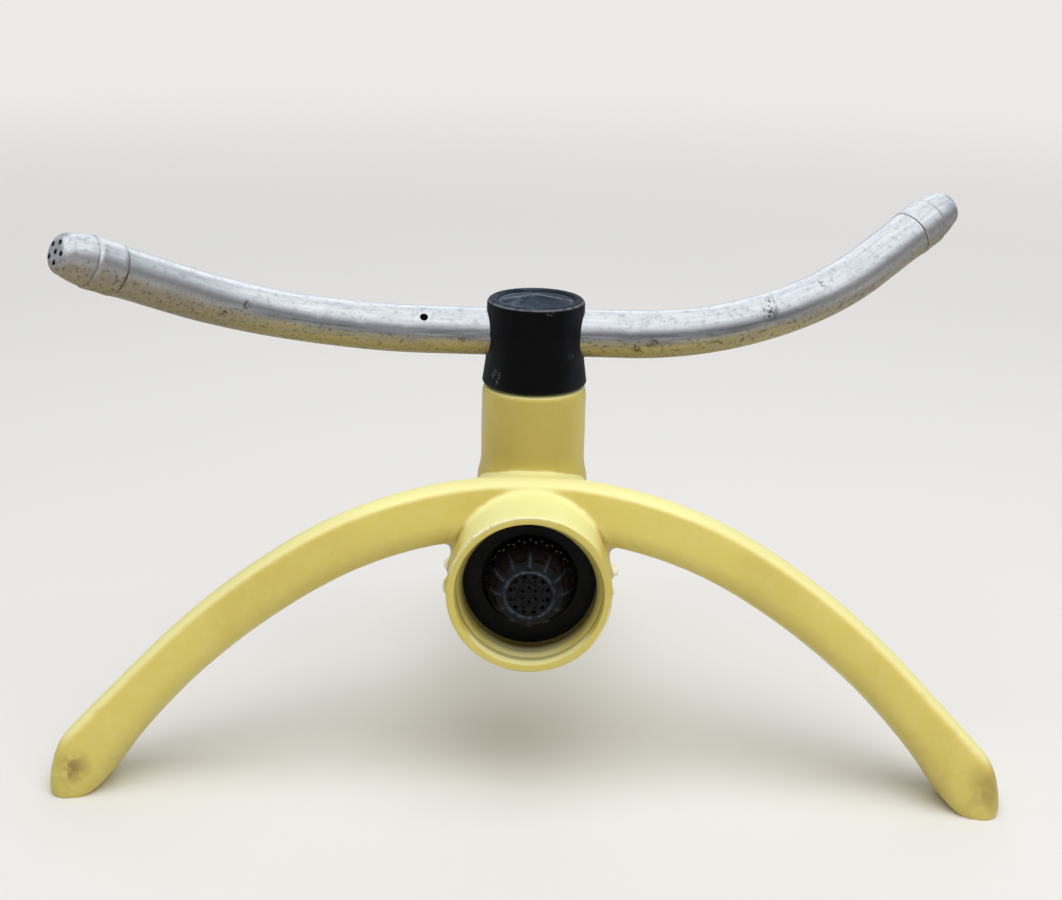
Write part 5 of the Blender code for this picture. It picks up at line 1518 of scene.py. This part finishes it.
class SPRINKLER_OT_stage(bpy.types.Operator):
    """Sets up the floor, the lights, the world and the camera"""

    bl_idname = "sprinkler.stage"
    bl_label = "Stage"

    def execute(self, context):
        stage = context.scene.sprinkler_stage
        make_floor()
        light_world(stage.world_strength)
        overhead = soft_light("overhead_light", stage.key_watts, 1.0, Vector((0.05, -0.25, 1.0)))
        overhead.visible_glossy = False
        front = soft_light("front_light", stage.fill_watts, 0.9, Vector((0.45, -1.0, 0.55)))
        front.visible_glossy = False
        soft_light("back_light", stage.back_watts, 0.9, Vector((0.1, 1.2, 0.75)))
        place_camera(stage)
        context.scene.view_settings.view_transform = "Standard"
        return {"FINISHED"}


def make_floor():
    bm = bmesh.new()
    bmesh.ops.create_grid(bm, x_segments=4, y_segments=4, size=6.0)
    mesh = bpy.data.meshes.new("studio_floor")
    bm.to_mesh(mesh)
    bm.free()
    floor = bpy.data.objects.new("studio_floor", mesh)
    bpy.context.scene.collection.objects.link(floor)
    material, add, shader, place = start_material("painted_floor", roughness=0.7)
    links = material.node_tree.links
    cloud = add("TexNoise", place, Scale=1.0 / (300.0 * MM), Detail=2.0, Roughness=0.55)
    links.new(layered(add, "#E9E8E5", (cloud, 1.0, "#E4E3E0")), shader.inputs["Base Color"])
    # Far from the sprinkler the camera sees the floor run into the backdrop's pale colour
    away = add("VectorMath", place, operation="LENGTH", output="Value")
    fade = overlap(add, add("MapRange", away, 0.3, 1.0, **SMOOTH), add("LightPath", output="Is Camera Ray"))
    both = add("MixShader", fade, shader.outputs[0], add("Emission", linear("#EBEAE7"), 1.0))
    links.new(both, material.node_tree.nodes["Material Output"].inputs["Surface"])
    mesh.materials.append(material)


def light_world(strength):
    # Even light from all round, and a pale backdrop for the camera and for mirror reflections
    world = bpy.data.worlds.new("studio_world")
    bpy.context.scene.world = world
    world.use_nodes = True
    world.node_tree.nodes.clear()
    add = partial(add_node, world.node_tree)
    path = add("LightPath").node.outputs
    seen = path["Is Camera Ray"]
    for ray in ("Is Glossy Ray", "Is Transmission Ray"):
        seen = add("Math", seen, path[ray], **LARGER)
    # Metal mirrors a white ceiling over a greyer horizon, as under a large soft light
    up = add("SeparateXYZ", add("NewGeometry", output="Position")).node.outputs
    overhead = add("Math", up["Y"], -0.35, up["Z"], **TIMES_PLUS)
    ceiling = layered(add, "#B4B8BE", (add("MapRange", overhead, 0.25, 0.75, **SMOOTH), 1.0, "#FFFFFF"))
    pale = layered(add, "#ECEBE8", (path["Is Glossy Ray"], 1.0, ceiling))
    light = add("Background", linear("#F4F4F6"), strength)
    add("OutputWorld", Surface=add("MixShader", seen, light, add("Background", pale, 1.0)))


def soft_light(name, watts, size, place):
    light = bpy.data.lights.new(name, "AREA")
    light.energy = watts
    light.size = size
    lamp = bpy.data.objects.new(name, light)
    lamp.location = place
    aim = Vector((0.0, AXIS.y, 0.05)) - place
    lamp.rotation_euler = aim.to_track_quat("-Z", "Y").to_euler()
    bpy.context.scene.collection.objects.link(lamp)
    return lamp


def place_camera(stage):
    camera = bpy.data.cameras.new("photo_camera")
    camera.lens = stage.lens
    camera.sensor_width = 36.0
    camera.clip_start = 0.01
    holder = bpy.data.objects.new("photo_camera", camera)
    bpy.context.scene.collection.objects.link(holder)
    place = Matrix.Translation((stage.camera_side, AXIS.y - stage.camera_reach, stage.camera_height))
    pitch = Matrix.Rotation(math.radians(90.0) - stage.camera_pitch, 4, "X")
    roll = Matrix.Rotation(stage.camera_roll, 4, "Z")
    holder.matrix_world = place @ pitch @ roll
    bpy.context.scene.camera = holder


class SPRINKLER_PT_panel(bpy.types.Panel):
    """Lists the sprinkler's pieces and their sizes"""

    bl_idname = "SPRINKLER_PT_panel"
    bl_label = "Garden Sprinkler"
    bl_space_type = "VIEW_3D"
    bl_region_type = "UI"
    bl_category = "Sprinkler"

    def draw(self, context):
        layout = self.layout
        for operator, group in STEPS:
            box = layout.box()
            box.operator(operator.bl_idname)
            if group:
                settings = getattr(context.scene, group)
                for name in settings.__annotations__:
                    box.prop(settings, name)


SETTINGS = {
    "sprinkler_base": BaseSettings,
    "sprinkler_socket": SocketSettings,
    "sprinkler_hub": HubSettings,
    "sprinkler_arm": ArmSettings,
    "sprinkler_finish": FinishSettings,
    "sprinkler_stage": StageSettings,
}
STEPS = (
    (SPRINKLER_OT_base, "sprinkler_base"),
    (SPRINKLER_OT_inlet, "sprinkler_socket"),
    (SPRINKLER_OT_bearing, "sprinkler_finish"),
    (SPRINKLER_OT_hub, "sprinkler_hub"),
    (SPRINKLER_OT_arms, "sprinkler_arm"),
    (SPRINKLER_OT_stage, "sprinkler_stage"),
)


def register():
    for name, group in SETTINGS.items():
        bpy.utils.register_class(group)
        setattr(bpy.types.Scene, name, PointerProperty(type=group))
    for operator, _ in STEPS:
        bpy.utils.register_class(operator)
    bpy.utils.register_class(SPRINKLER_PT_panel)


def unregister():
    bpy.utils.unregister_class(SPRINKLER_PT_panel)
    for operator, _ in reversed(STEPS):
        bpy.utils.unregister_class(operator)
    for name, group in SETTINGS.items():
        delattr(bpy.types.Scene, name)
        bpy.utils.unregister_class(group)


def corners(box):
    return [[float(value) for value in corner] for corner in box]


def main():
    register()
    bpy.ops.sprinkler.base()
    bpy.ops.sprinkler.inlet()
    bpy.ops.sprinkler.bearing()
    bpy.ops.sprinkler.hub()
    bpy.ops.sprinkler.arms()
    bpy.ops.sprinkler.stage()


if __name__ == "__main__":
    main()
